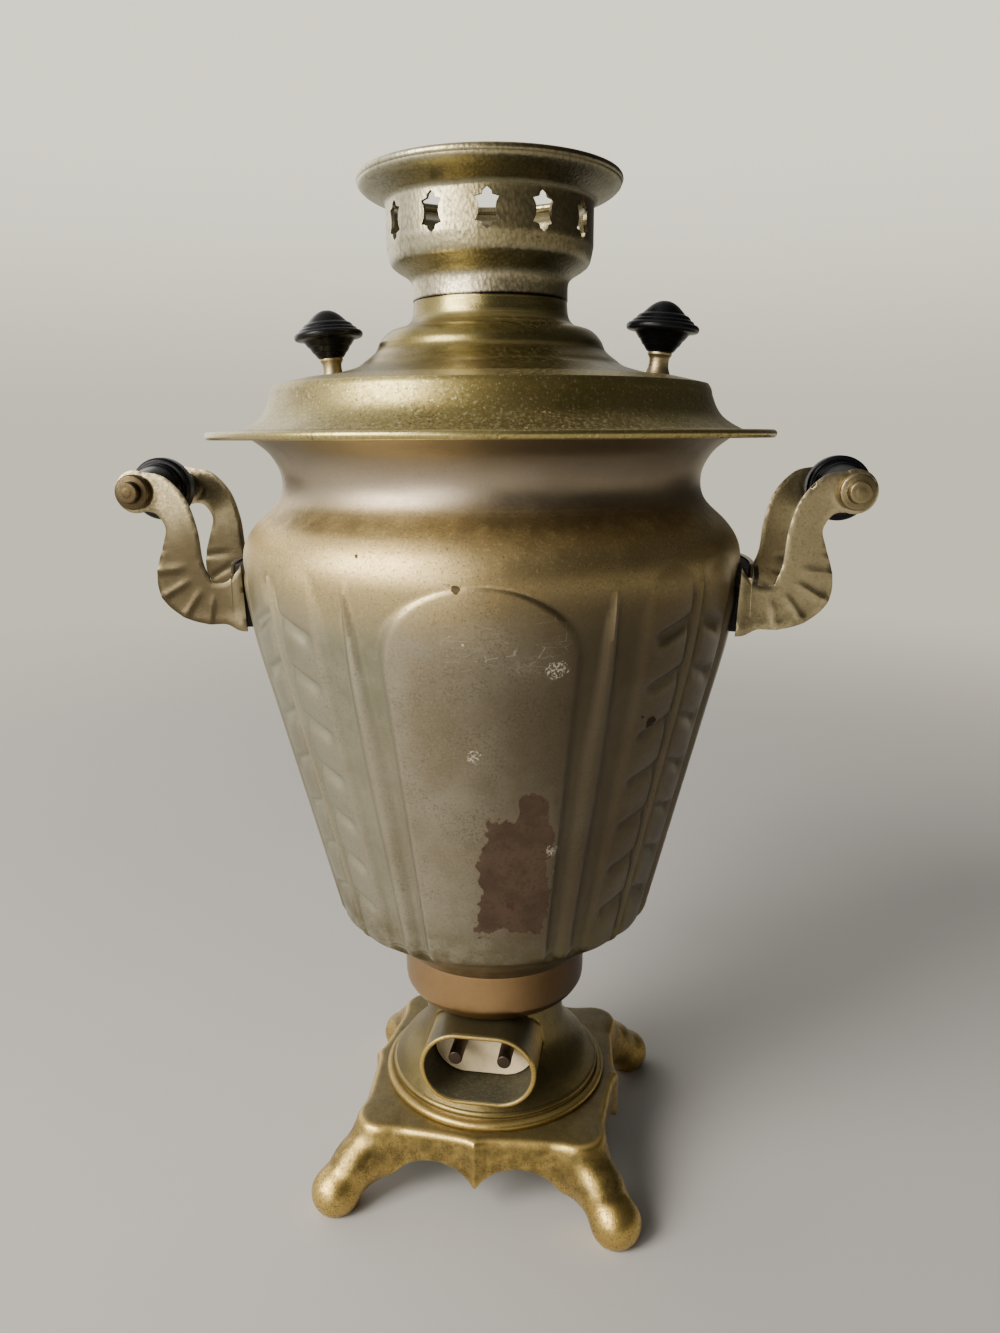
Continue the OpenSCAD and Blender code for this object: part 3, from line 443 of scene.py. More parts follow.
def aged_metal(name, light, dark, grime, roughness, speckle, worn, grain=0.9, dust=0.0, cloudy=0.7):
    """Old satin brass: soft clouds of tarnish, fine grains, grime in the hollows and brighter worn edges.

    Returns the finish with its colour and its roughness, for what each piece adds to them.
    """
    f = Finish(name)
    clouds = f.step(f.noise(46, 3, 0.5, 0.3), 0.32, 0.68)
    mottle = f.step(f.noise(9, 4, 0.6), 0.44, 0.66)
    grains = f.noise(grain, 2, 0.6)
    pits, glints = f.step(grains, 0.53, 0.66), f.step(grains, 0.46, 0.34)
    patches = f.step(f.noise(16, 4, 0.62, 0.8), 0.42, 0.64, 0.35, 1.0)
    specks = f.times(pits, patches, speckle)
    wear = f.mark("wear")
    hollow = f.step(f.add(wear, f.times(f.noise(3.5, 4), -0.05)), 0.0, 0.16)
    edge = f.times(f.step(f.times(wear, -1.0), 0.04, 0.26), worn)
    tone = f.mix(f.times(clouds, cloudy), light, dark)
    tone = f.mix(f.times(mottle, 0.3 * cloudy), tone, shade(dark, 0.85))
    tone = f.mix(f.times(glints, 0.3 * speckle), tone, shade(light, 1.35))
    tone = f.mix(edge, tone, shade(light, 1.2))
    tone = f.mix(f.times(specks, 0.75), tone, grime)
    tone = f.mix(f.times(hollow, 0.7), tone, grime)
    soil = f.add(f.times(specks, 0.25), f.times(hollow, 0.5))
    if dust:
        lint = f.times(f.step(f.upward(), 0.5, 0.98), f.step(f.noise(1.4, 5, 0.75), 0.46, 0.66), dust)
        tone = f.mix(lint, tone, (0.38, 0.35, 0.27))
        soil = f.add(soil, lint)
    rough = f.add(roughness, f.times(clouds, 0.06), f.times(mottle, 0.04), f.times(soil, 0.35),
                  f.times(edge, -0.08))
    f.set("Metallic", f.rest(f.times(soil, 0.8)))
    f.set("Roughness", rough)
    f.set("Base Color", tone)
    f.set("Normal", f.bump(f.noise(13, 2), 0.10, f.bump(grains, 0.03)))
    return f, tone, rough


# ---- Tank ----
FOOT = [(32.5, Z_BODY), (38, Z_BODY), (46, 100.9)]
THROAT = [(78, 271), (76.6, 279.4), (80.2, 287), (86.5, Z_NECK)]
GROUND = [*FOOT, (53, 106.5), (58.1, 110.5), (60.4, Z_PAN), (86.4, 219), (89.4, 235), (90.7, 244.5),
          (90.6, 251), (89.0, 257), (85.4, 262.9), *THROAT]
RAISED = [*FOOT, (54.2, 106.8), (60, 111), (62, Z_PAN), (88, 219), (90.9, 235), (92, 244.5),
          (91.8, 251), (90.0, 257.2), (86, 262.9), *THROAT]


def tank_line(points, spacing):
    """The wall's line: curved foot, straight cone from Z_PAN to Z_CONE, and curved shoulder and neck."""
    foot, top = np.array(points[5]), np.array(points[6])
    cone = foot + (top - foot) * (Z_CONE - foot[1]) / (top[1] - foot[1])
    line = np.concatenate([[points[0]], curve(points[1:6]), curve([cone, *points[6:]]), [(96, Z_NECK)]])
    return along_line(line, spacing)


def emboss(v, z):
    """Share of the full relief at angle v from the front panel's middle, in degrees, and height z."""
    a = np.abs((v + 180) % 360 - 180)
    a = np.where(a > 90, 180 - a, a)           # each quarter of the wall repeats the first

    def arched(centre, half):
        q = np.hypot((a - centre) / half, np.maximum(0, z - 225) / 28)
        return ease(-0.5, 4, (1 - q) * 30)

    radius = np.interp(z, [Z_PAN, 219, 250], [62, 88, 92])
    shoulder = ease(236, 256, z)
    half = np.interp(z, [190, 250], [4.0, 1.0])
    rib = np.cos(np.clip((a - np.interp(z, [150, 250], [26.6, 26.9])) / half, -1, 1) * pi / 2) ** 2
    stem = np.cos(np.clip((a - 50) / 1.9, -1, 1) * pi / 2) ** 2
    fold = np.where(a > 50, 100 - a, a)
    leaf = ease(33.2, 36.2, fold) * (1 - ease(46.8, 48.2, fold))
    leaf = leaf * (0.75 + 0.25 * np.sin(pi * (fold - 34) / 14))
    along = z - 0.33 * radius * np.radians(fold - 42)
    for k in range(7):                         # the cuts between the leaves of a column
        gap = along - (233 - 17.2 * k)
        leaf = leaf * (1 - 0.9 * np.exp(-(gap / np.where(gap > 0, 1.9, 3.5)) ** 2) * ease(35.5, 40, fold))
    shares = np.broadcast_arrays(arched(0, 21), shoulder, rib, stem, leaf, arched(90, 22))
    return np.clip(np.max(shares, 0), 0, 1)


def tank_wall(sizes):
    """The embossed wall with the tap's boss, and the share of the relief at each of its corners."""
    line = tank_line(RAISED, 0.9)
    inner = beside(tank_line(GROUND, 3.0), SHEET)[::-1]
    out = line - beside(line, 1.0)
    angle = 360 * np.arange(sizes.columns) / sizes.columns
    turn = np.radians(angle)[None, :]

    def rings(r, h):
        return np.stack([r * np.sin(turn), -r * np.cos(turn), h + 0 * turn], 2)

    z = line[:, 1][:, None]
    start = ease(104, 110, z)
    share = emboss(angle[None, :] - degrees(sizes.emboss_turn), z)
    sunk = sizes.relief / MM * start * (1 - share)
    outer = rings(line[:, 0][:, None] - sunk * out[:, 0][:, None], z - sunk * out[:, 1][:, None])
    lining = rings(inner[:, 0][:, None], inner[:, 1][:, None])
    relief = np.concatenate([share * start + (1 - start), np.ones(lining.shape[:2])])
    boss = lathe(eased([(0, -20), (13, -20), (13, 0), (7.2, 0), (7.2, -10), (0, -10)], 0.6), 72)
    boss = shifted(turned(boss, -90, "X"), y=TAP_SEAT - 0.1, z=Z_TAP)
    wall = joined(loft(np.concatenate([outer, lining])), boss)
    return wall, np.concatenate([relief.ravel(), np.ones(len(boss[0]))])


# ---- Ring, collar, lid and crown ----
def ring_outline():
    """Ledge under the lid, flare, beaded brim and underside of the ring."""
    top = [(65, 311.4), (67.7, 311.4), (67.7, Z_SEAT), (68.2, 312.7), (73, 311.6)]
    flare = curve([(78, Z_RING), (79, 308.7), (79.7, 306), (81.4, 302), (84, 298.8), (88.4, 296), (92, 294.8),
                   (100.6, 294.8)])
    bead = arc((100.6, Z_BRIM), 1.4, 88, -170, 12)
    under = beside(flare, -SHEET)[::-1]
    under = under[under[:, 0] < 98.6]
    ledge = [(76, 309.6), (68.4, 311.4), (68.3, 310.2), (65, 310.2)]
    return np.concatenate([eased(top, 0.3), flare, bead, under, ledge])


def lid_outline():
    steps = curve([(60.5, 313.4), (49.4, 316.5), (45.2, 319.2), (41.5, 322.3), (39.8, 325.8), (36.4, 329.2),
                   (30.9, 331), (28.2, 333.8), (27.5, 338.6)])
    spigot = [(27.5, Z_SEAM), (26.2, Z_SEAM), (26.2, 345.1)]
    return skin(eased(np.concatenate([[(67.5, Z_SEAT), (64, Z_SEAT)], steps, spigot]), 0.35), SHEET)


def steam_plate():
    """Round plate in the lid's spigot, with five steam holes."""
    loops = [circle((0, 0), 25.6, 72)]
    for k in range(5):
        a = 2 * pi * k / 5
        loops.append(circle((13.1 * cos(a), 13.1 * sin(a)), 2.5, 20))
    return slab(loops, 343.9, 345.0)


def inside(points, loop):
    """Which of the points lie inside the closed loop."""
    x, y = points[:, 0][:, None], points[:, 1][:, None]
    a, b = np.asarray(loop), np.roll(loop, -1, axis=0)
    spans = (a[:, 1] > y) != (b[:, 1] > y)
    rise = np.where(b[:, 1] == a[:, 1], 1, b[:, 1] - a[:, 1])
    return (spans & (x < (b[:, 0] - a[:, 0]) * (y - a[:, 1]) / rise + a[:, 0])).sum(1) % 2 == 1


def nearest(points, outline):
    """How far each of the points lies from the nearest point of the outline."""
    return np.hypot(*(points[:, None] - outline[None]).transpose(2, 0, 1)).min(1)


def grid_inside(outline, low, high, spacing, clear):
    """Evenly spaced points inside the outline, kept clear of its edge."""
    axes = np.meshgrid(*(np.arange(a, b, spacing) for a, b in zip(low, high)))
    grid = np.column_stack([axis.ravel() for axis in axes])
    return grid[inside(grid, outline) & (nearest(grid, outline) > clear)]


def filled(loops, extra=()):
    """Triangles inside the first loop and outside the others, through the extra points too."""
    points, edges = [], []
    for loop in loops:
        start, n = len(points), len(loop)
        points += [tuple(p) for p in loop]
        edges += [(start + i, start + (i + 1) % n) for i in range(n)]
    points += [tuple(p) for p in extra]
    found, _, triangles, *_ = delaunay_2d_cdt(points, edges, [], 0, 1e-6)
    found = np.array([tuple(p) for p in found])
    triangles = np.array([t for t in triangles])
    middle = found[triangles].mean(1)
    keep = inside(middle, loops[0])
    for loop in loops[1:]:
        keep &= ~inside(middle, loop)
    return found, triangles[keep]


def slab(loops, z0, z1, extra=(), low=None, high=None):
    """Plate of the filled loops between two heights, each of which may be a function of the points."""
    points, triangles = filled(loops, extra)
    n = len(points)
    bottom = low(points) if low else np.full(n, z0, float)
    top = high(points) if high else np.full(n, z1, float)
    corners = np.concatenate([np.column_stack([points, bottom]), np.column_stack([points, top])])
    faces = [tuple(t[::-1]) for t in triangles] + [tuple(t + n) for t in triangles]
    start = 0
    for loop in loops:
        m = len(loop)
        faces += [(start + i, start + (i + 1) % m, start + (i + 1) % m + n, start + i + n) for i in range(m)]
        start += m
    return corners, faces


STAR = [(0, 6.45), (1.4, 5.35), (1.7, 4.2), (3.95, 3.6), (3.0, 1.8), (2.75, 0)]


def star_outline():
    """Six-pointed star, from a quarter of it."""
    half = STAR + [(x, -y) for x, y in STAR[-2::-1]]
    loop = half + [(-x, y) for x, y in half[-2:0:-1]]
    return along_line(loop + [loop[0]], 0.8)[:-1]


def crown_wall(sizes):
    """The turned wall as a grid of quads, each star cut from its own window of it, and the rolled rim."""
    neck = curve([(27.7, Z_SEAM), (27.7, 344.1), (28.2, 346.4), (30.1, 348.3), (33.4, 350.3), (35.4, 352.4),
                  (R_CROWN, 357.6)], 5)
    mouth = curve([(R_CROWN, 370.1), (37, 372), (39.8, 373.6), (43.5, 375.3), (45.7, 377.1),
                   (46.2, 378.4)], 5)
    line = along_line(np.concatenate([neck, mouth]), 1.1)
    lining = beside(line, SHEET)
    travel = np.concatenate([[0], np.cumsum(np.linalg.norm(np.diff(line, axis=0), axis=1))])
    span, margin, star_room = 12, 2, 7.0       # columns to a star, columns beside its window, its half height
    columns = sizes.stars * span
    width = 360 / columns
    rows = len(line)
    low = int(np.searchsorted(line[:, 1], Z_STAR - star_room)) - 1
    high = int(np.searchsorted(line[:, 1], Z_STAR + star_room)) + 1
    left, right = margin, span - margin
    spots = [(c * width, travel[i]) for i in range(rows) for c in range(columns)]
    faces, rims = [], []

    def at(i, c):
        return i * columns + c % columns
    star = star_outline()
    for i in range(rows - 1):
        for c in range(columns):
            if not (low <= i < high and left <= c % span < right):
                faces.append((at(i, c), at(i, c + 1), at(i + 1, c + 1), at(i + 1, c)))
    for k in range(sizes.stars):
        window = ([(low, c) for c in range(left, right)] + [(i, right) for i in range(low, high)]
                  + [(high, c) for c in range(right, left, -1)] + [(i, left) for i in range(high, low, -1)])
        border = [at(i, k * span + c) for i, c in window]
        middle = (k * span + span / 2) * width

        def flat(p, middle=middle):
            return np.column_stack([(np.array(p)[:, 0] - middle) * radians(R_CROWN), np.array(p)[:, 1]])

        hole = [(middle + degrees(x / R_CROWN), np.interp(Z_STAR + y, line[:, 1], travel)) for x, y in star]
        rect = [((k * span + c) * width, travel[i]) for i, c in window]
        within = [((k * span + c) * width, travel[i])
                  for i in range(low + 1, high) for c in range(left + 1, right)]
        edge = flat(hole)
        away, cut = nearest(flat(within), edge), inside(flat(within), edge)
        within = [p for p, far, gone in zip(within, away, cut) if far > 0.5 and not gone]
        _, triangles = filled([flat(rect), edge], flat(within))
        start = len(spots)
        spots += hole + within
        index = border + list(range(start, len(spots)))
        faces += [tuple(index[i] for i in t) for t in triangles]
        rims.append(list(range(start, start + len(hole))))
    spots = np.array(spots)
    turn = np.radians(spots[:, 0] - 360 / sizes.stars / 2) + sizes.star_turn

    def placed(profile):
        r = np.interp(spots[:, 1], travel, profile[:, 0])
        height = np.interp(spots[:, 1], travel, profile[:, 1])
        return np.stack([r * np.sin(turn), -r * np.cos(turn), height], 1)

    n = len(spots)
    corners = np.concatenate([placed(line), placed(lining)])
    both = faces + [tuple(i + n for i in f[::-1]) for f in faces]
    for rim in rims:
        m = len(rim)
        both += [(rim[i], rim[(i + 1) % m], rim[(i + 1) % m] + n, rim[i] + n) for i in range(m)]
    for row in (0, rows - 1):
        both += [(at(row, c), at(row, c + 1), at(row, c + 1) + n, at(row, c) + n) for c in range(columns)]
    bead = lathe(circle((45.1, 379.3), 1.5, 14), columns)
    return joined((corners, both), bead)


# ---- Base ----
def side_reach(t):
    """How far each side of the plate reaches at distance t from its middle, with the cusp there."""
    return np.interp(np.abs(t), [0, 1.5, 4, 8, 16, 24, 33, 38],
                     [52.4, 51.6, 50.7, 50.0, 49.2, 48.6, 47.7, 47.5])


DOME = curve([(44.6, 31), (43.5, 33), (42, 38), (38.5, 44), (33, 49.5), (29.5, 55), (28, 62), (28, 72),
              (28, 75)], 4)


def capsule(x, y, z, a, ra, b, rb):
    """Distance to a rounded limb between two balls."""
    ax, ay, az = x - a[0], y - a[1], z - a[2]
    d = np.subtract(b, a)
    t = np.clip((ax * d[0] + ay * d[1] + az * d[2]) / (d @ d), 0, 1)
    return np.sqrt((ax - t * d[0]) ** 2 + (ay - t * d[1]) ** 2 + (az - t * d[2]) ** 2) - (ra + t * (rb - ra))


def base_field(x, y, z):
    """Distance to the casting: hollow plate with arched sides, legs, capped dome and the inlet's opening."""
    ax, ay = np.abs(x), np.abs(y)
    corner = 10                                # radius of the plate's corners
    qx, qy = ax - side_reach(y) + corner, ay - side_reach(x) + corner
    plan = np.hypot(np.maximum(qx, 0), np.maximum(qy, 0)) + np.minimum(np.maximum(qx, qy), 0) - corner
    r = np.hypot(x, y)
    crest = Z_PLATE - 1.6 * ease(44, 66, r)
    plate = smooth_max(plan, z - crest, 3.4)
    plate = smooth_max(plate, 11.3 - z, 1.0)
    hollow = smooth_max(plan + 3.2, z - 29.6, 2.0)
    plate = smooth_max(plate, -hollow, 1.0)
    legs = capsule(ax, ay, z, (40, 40, 23.6), 9.6, (47.5, 47.5, 15.6), 8.3)
    legs = smooth_min(legs, capsule(ax, ay, z, (47.5, 47.5, 15.6), 8.3, (54, 54, 6.5), 8.9), 4.0)
    legs = smooth_min(legs, np.sqrt((ax - 54.3) ** 2 + (ay - 54.3) ** 2 + (z - 7.2) ** 2) - 9.0, 2.5)
    for side in (ax, ay):                      # two arches under each side
        arch = 19.8 - np.hypot(side - 16.36, z)
        plate = smooth_max(plate, arch, 1.6)
    shape = smooth_min(plate, legs, 7.0)
    shape = smooth_max(shape, z - 32.9, 1.2)
    bend = np.interp(z, DOME[:, 1], DOME[:, 0])
    slope = np.gradient(DOME[:, 0], DOME[:, 1])
    wall = (r - bend) / np.sqrt(1 + np.interp(z, DOME[:, 1], slope) ** 2)
    dome = np.maximum(np.maximum(wall, -wall - 3.0), np.maximum(31.5 - z, z - 71.8))
    cap = np.maximum(np.maximum(r - 27, 19 - r), np.maximum(69 - z, z - 71.8))
    dome = np.minimum(dome, cap)
    slot = np.hypot(np.maximum(ax - 7.5, 0), z - Z_INLET) - 14.9
    above = np.maximum(ax - 14.0, Z_INLET - z)
    slot = np.maximum(np.minimum(slot, above), y + 17.8)
    dome = smooth_max(dome, -slot, 0.4)
    shape = np.maximum(shape, 40.4 - r)
    shape = smooth_min(shape, dome, 0.8)
    return smooth_max(shape, -z, 0.8)


# ---- Inlet ----
def oval(offset, width, height):
    """Round-ended outline of this outside width and height, moved inward by the offset."""
    r, reach, half = height / 2 - offset, (width - height) / 2, OVAL_POINTS // 2
    return np.concatenate([arc((reach, 0), r, -90, 90, half - 1), arc((-reach, 0), r, 90, 270, half - 1)])


def shroud():
    """The inlet's tube, and 1 at the corners of its inner side."""
    wall = 1.6
    rows = [(0, -18), (0, -30), (0, -40.6), (-0.25, -41.6), (-0.3, -42.3), (0.1, -42.9), (0.8, -43.05),
            (1.4, -42.8), (wall, -42.2), (wall, -34), (wall, -26), (wall, -20), (wall + 1.5, -19.6),
            (wall + 1.5, -18)]
    loops = []
    for offset, y in rows:
        o = oval(offset, INLET_WIDTH, INLET_HEIGHT)
        loops.append(np.column_stack([o[:, 0], np.full(len(o), y), Z_INLET + o[:, 1]]))
    inner = [float(k >= rows.index((wall, -42.2))) for k in range(len(rows))]
    return loft(loops), np.repeat(inner, OVAL_POINTS)


def insulator():
    """Oval block in the tube, with a hole for each pin."""
    holes = [circle((s * X_PIN, Z_PIN - Z_INLET), 2.08, 28) for s in (-1, 1)]
    corners, faces = slab([oval(0.5, INLET_WIDTH - 3.3, INLET_HEIGHT - 3.3), *holes], 20.05, 25.0)
    return np.column_stack([corners[:, 0], -corners[:, 2], corners[:, 1] + Z_INLET]), faces


def along_y(mesh, x, z, y=0.0):
    """A turned piece laid down so that its axis runs towards -Y."""
    return shifted(turned(mesh, 90, "X"), x, y, z)


def pins():
    outline = [(0, 14), (1.7, 14), (2, 14.4), (2, 24.6), (2.7, 24.6),
               *arc((2.2, 37.5), 0.5, 0, 90, 4), (0, 38)]
    pin = lathe(outline, 40)
    return joined(*[along_y(pin, s * X_PIN, Z_PIN) for s in (-1, 1)])


# ---- Handles ----
ARM_LOWER = curve([(-3, -7), (-7, -7.8), (-10.1, -12.8), (-8.8, -18.7), (-6.2, -27.5), (-6, -35), (-9, -41),
                   (-16, -46), (-24, -48), (-30.6, -48), (-35.2, -50.2), (-38.2, -50.6)], 5)
ARM_UPPER = curve([(-36.9, -26.2), (-35.4, -28.6), (-31.2, -32.4), (-26.3, -32.6), (-24.7, -30),
                   (-22.8, -24.5), (-21.6, -13.5), (-18, -2.5), (-10.8, 5.2), (-3, 7)], 5)


def handle_bracket():
    """The right bracket: two stamped arms and the curved web between them."""
    half = 0.75                                # half of the sheet's thickness
    eye = arc((0, 0), 7.6, 113, -113, 30)
    outline = along_line(np.concatenate([ARM_LOWER, ARM_UPPER, eye, [ARM_LOWER[0]]]), 1.1)[:-1]
    grid = grid_inside(outline, (-38.4, -50), (8, 8), 1.15, 0.7)
    grid = grid[np.hypot(*grid.T) > 3.6]

    def pressed(p):
        """Height of the eye's ring, the pleats and the bulge between them, and the rounding of the edge."""
        rise = 0.35 * np.exp(-((np.hypot(p[:, 0], p[:, 1]) - 6.9) / 0.7) ** 2)
        dx, dz = p[:, 0] + 28, p[:, 1] + 26
        r = np.hypot(dx, dz)
        for angle in (-6, -30, -56, -80):
            u, w = cos(radians(angle)), sin(radians(angle))
            off = dx * w - dz * u
            rise = rise + 0.55 * np.exp(-(off / 1.1) ** 2) * ease(10, 16, r) * (dx * u + dz * w > 0)
        rise = rise + 0.5 * ease(17, 25, r) * (dz < 4)
        return rise, 0.32 * (1 - ease(0, 0.5, nearest(p, outline)))

    def arm(side):
        def outer(p):
            rise, round_off = pressed(p)
            return side * (Y_ARM + half - round_off + rise)

        def inner(p):
            rise, round_off = pressed(p)
            return side * (Y_ARM - half + round_off + rise)
        corners, faces = slab([outline, circle((0, 0), 2.7, 24)], 0, 0, grid, low=inner, high=outer)
        return np.column_stack([corners[:, 0] + X_GRIP, corners[:, 2], corners[:, 1] + Z_EYE]), faces

    loops = []
    for a in np.linspace(-14.9, 14.9, 25):     # the web's corners draw in where it meets the arms
        u, w = cos(radians(a)), sin(radians(a))
        closing = ease(11.0, 14.6, abs(a))
        foot, head = 223.5 + 1.5 * closing, 248.5 - 4.2 * closing
        rows = [(95, foot + 0.3), (95.3, foot), (96.2, foot), (96.5, foot + 0.3),
                (96.5, head - 0.3), (96.2, head), (95.3, head), (95, head - 0.3)]
        loops.append([(r * u, r * w, z) for r, z in rows])
    return joined(arm(1), arm(-1), loft(loops, ring=False))


GRIP = [(11.7, 0), (11.7, 2), (10.8, 3.1), (9.4, 3.2), (9.4, 5.4), (8.6, 6.2), (8.6, 7), (8.5, 8), (7.7, 12),
        (6.7, 16), (5.6, 20), (5.3, 23.15)]


def grip():
    """The black grip, the same to both sides of its bead, with a bore for its rod."""
    side = eased(GRIP, 0.5)
    end = GRIP[-1][1]
    outline = np.concatenate([[(2.6, -end)], side[::-1] * (1, -1), side[1:], [(2.6, end)]])
    return along_y(lathe(eased(outline, 0.25, 2), 96), X_GRIP, Z_EYE)


def cap_nut(side):
    """Domed retaining nut, with the rod's riveted end in the middle."""
    outline = [(0, 0), (6.3, 0), *arc((5.3, 2.5), 1.0, 0, 80, 5), (4.6, 3.6), (4.0, 3.8),
               *arc((3.15, 6.3), 0.6, 0, 80, 4), (2.2, 6.75), (1.6, 6.9), (0.8, 7.0), (0, 7.0)]
    nut = lathe(outline, 64)
    nut = nut if side < 0 else turned(nut, 180, "X")
    return along_y(nut, X_GRIP, Z_EYE, side * (Y_ARM + 0.8))


def handle_pad():
    """Wedge of black rubber between the tank and the bracket's web, also a dark piece standing in for the
    shade in that gap.
    """
    loops = []
    for a in np.linspace(-13.9, 13.9, 25):
        u, w = cos(radians(a)), sin(radians(a))
        rows = [(94.9, 224.6), (94.9, 247.6), (91.4, 247.6), (90.6, 241), (89.6, 234), (88.2, 226),
                (88.0, 224.6)]
        loops.append([(r * u, r * w, z) for r, z in eased(rows + rows[:1], 0.3, 2)[:-1]])
    return loft(loops, ring=False)


def screw_heads():
    """The two domed heads against the bracket's web."""
    head = lathe([(0, 0), (3.8, 0), (3.8, 0.9), *arc((2.2, 0.9), 1.6, 0, 90, 6), (0, 2.5)], 40)
    return joined(*[shifted(turned(head, 90, "Y"), 96.6, 0, z) for z in (230, 242)])


# ---- Knobs ----
KNOB = [(0, 0), (4.6, 0), (5.1, 0.6), (6.1, 2.0), (6.5, 2.2), (7.6, 4.1), (8.0, 4.3), (9.4, 6.2), (9.9, 6.5),
        (12.1, 6.8), (12.7, 7.4), (12.7, 8.5), (12, 9.3), (11, 9.5), (10.5, 10.5), (9.6, 10.8), (9.3, 11.5),
        (8.5, 12.3), (7.6, 12.5), (6.9, 13.3), (5.9, 14.3), (4.8, 15.3), (3.5, 16.2), (1.9, 16.9), (0, 17.1)]
STEM = [(0, -1.2), (4.6, -1.2), (4.6, 0.2), (4.1, 1.2), (3.55, 2.8), (3.4, 4.4), (3.5, 5.8), (3.9, 6.6),
        (4.25, 7), (4.25, 7.9), (0, 7.9)]


def at_knob(mesh, side):
    """The mesh set on the lid's slope, where a knob stands."""
    return turned(shifted(turned(mesh, side * 5, "Y"), side * X_KNOB, 0, Z_SEAT + 1), LID_TURN)


# ---- Tap ----
def tube(points, radii, sides):
    """Round bar through the points."""
    p = np.asarray(points, float)
    along = np.gradient(p, axis=0)
    along /= np.linalg.norm(along, axis=1)[:, None]
    side = np.array([1.0, 0, 0])
    up = np.cross(along, side)
    turn = np.linspace(0, 2 * pi, sides, endpoint=False)
    loops = p[:, None] + np.asarray(radii)[:, None, None] * (np.cos(turn)[None, :, None] * side
                                                             + np.sin(turn)[None, :, None] * up[:, None])
    return loft(loops, ring=False)


def spout():
    """The bent tube with its bore, which are joined by the ring at the mouth."""
    r, n = 12, 40                              # radius of the bend, and sides of the tube
    bend = [(0, SPOUT_Y - r + r * sin(radians(a)), Z_TAP - r + r * cos(radians(a))) for a in range(0, 91, 6)]
    outside = [(0, PLUG_Y + 4, Z_TAP), *bend, (0, SPOUT_Y, 116.5), (0, SPOUT_Y, 115.2), (0, SPOUT_Y, 114.4),
               (0, SPOUT_Y, 110.6), (0, SPOUT_Y, 110.1)]
    radii = [6.3] * (len(bend) + 1) + [6.3, 6.5, 7.1, 7.1, 6.8]
    bore = [(0, SPOUT_Y, 110.1), (0, SPOUT_Y, 111), (0, SPOUT_Y, 122), *bend[::-1], (0, PLUG_Y + 9, Z_TAP)]
    (a, sides), (b, walls) = tube(outside, radii, n), tube(bore, [3.9] + [3.5] * (len(bore) - 1), n)
    faces = sides[:-1] + [tuple(len(a) + i for i in f) for f in walls[:-2] + walls[-1:]]
    rim = len(a) - n
    first = int(np.argmin(np.linalg.norm(b[:n] - a[rim], axis=1)))
    ahead, back = (np.linalg.norm(b[(first + k) % n] - a[rim + 1]) for k in (1, -1))
    way = -1 if ahead > 2 * back else 1
    order = [len(a) + (first + way * k) % n for k in range(n)]
    faces += [(rim + k, rim + (k + 1) % n, order[(k + 1) % n], order[k]) for k in range(n)]
    return np.concatenate([a, b]), faces


def tap_casting():
    """Flange, neck, shank through the wall, barrel and spout."""
    flange = eased([(0, 1.5), (13, 1.5), (17, 1.6), (17, 3.4), (13.4, 4.2), (11, 6.2), (8.6, 9), (8, 13),
                    (8, 24), (0, 24)], 0.6)
    shank = [(3.6, -28), (6.9, -28), (6.9, 3), (3.6, 3)]
    level = [shifted(turned(lathe(outline, sides), -90, "X"), y=TAP_SEAT, z=Z_TAP)
             for outline, sides in ((flange, 72), (shank, 48))]
    barrel = eased([(8.06, -15), (11.2, -15), (12, -13.6), (12, -10.5), (11.3, -9), (11.5, 0), (11.3, 9),
                    (12, 10.5), (12, 14), (11.5, 15), (8.06, 15)], 0.5)
    return joined(*level, shifted(lathe(barrel, 72), y=PLUG_Y, z=Z_TAP), spout())


def tap_turning():
    """The plug, with the threaded end under it and the stem for its key."""
    shoulder = eased([(8, 15.06), (11, 15.1), (11, 16.8), (10, 17.5), (4.5, 17.5)], 0.4)
    outline = [(0, -22), (2.8, -22), (3, -21.7), (3, -15.05), (8, -15), *shoulder,
               (4.5, KEY_SEAT - 0.2), (4.2, KEY_SEAT), (0, KEY_SEAT)]
    return shifted(lathe(outline, 64), y=PLUG_Y, z=Z_TAP)


def tap_key():
    """The butterfly key, thick in the middle and thin at its rim."""
    half = curve([(4, 6), (7, 11), (13, 15.6), (12, 21), (6, 26), (0, 24)])
    outline = along_line(np.concatenate([half, (half[::-1] * (-1, 1))[1:], [half[0]]]), 0.9)[:-1]
    grid = grid_inside(outline, (-13, 6), (14, 27), 1.0, 0.6)

    def thick(p):
        return 1.2 + 1.75 * np.sqrt(1 - (1 - np.clip(nearest(p, outline) / 3.2, 0, 1)) ** 2)
    corners, faces = slab([outline], 0, 0, grid, low=lambda p: -thick(p), high=thick)
    hub = eased([(4.56, 0), (6.4, 0), (7, 0.7), (7, 9.5), (5.6, 11.2), (0, 11.8), (0, 8.8), (4.56, 8.8)], 0.5)
    return shifted(joined((corners[:, [0, 2, 1]], faces), lathe(hub, 48)), y=PLUG_Y, z=Z_TAP + KEY_SEAT - 8)


# ---- Finishes of this samovar ----
def spot(f, x, y, z, radius, ragged):
    """Ragged mark of this radius round a point, all in millimetres."""
    away = f.node("ShaderNodeVectorMath", operation="DISTANCE")
    f.put(away.inputs[0], f.place)
    f.put(away.inputs[1], (x * MM, y * MM, z * MM))
    rag = ragged * radius * MM
    d = f.add(away.outputs["Value"], f.times(f.noise(radius * 1.6, 5, 0.7), 2 * rag), -rag)
    return f.step(d, radius * MM, radius * 0.86 * MM)


def block(f, across, height, x, z, half_w, half_h):
    """How far out of a rectangle the surface lies, from 0 in its middle to 1 at its edge."""
    dx = f.math("DIVIDE", f.off(across, x * MM), half_w * MM)
    dz = f.math("DIVIDE", f.off(height, z * MM), half_h * MM)
    return f.math("SMOOTH_MAX", dx, dz, 0.3)


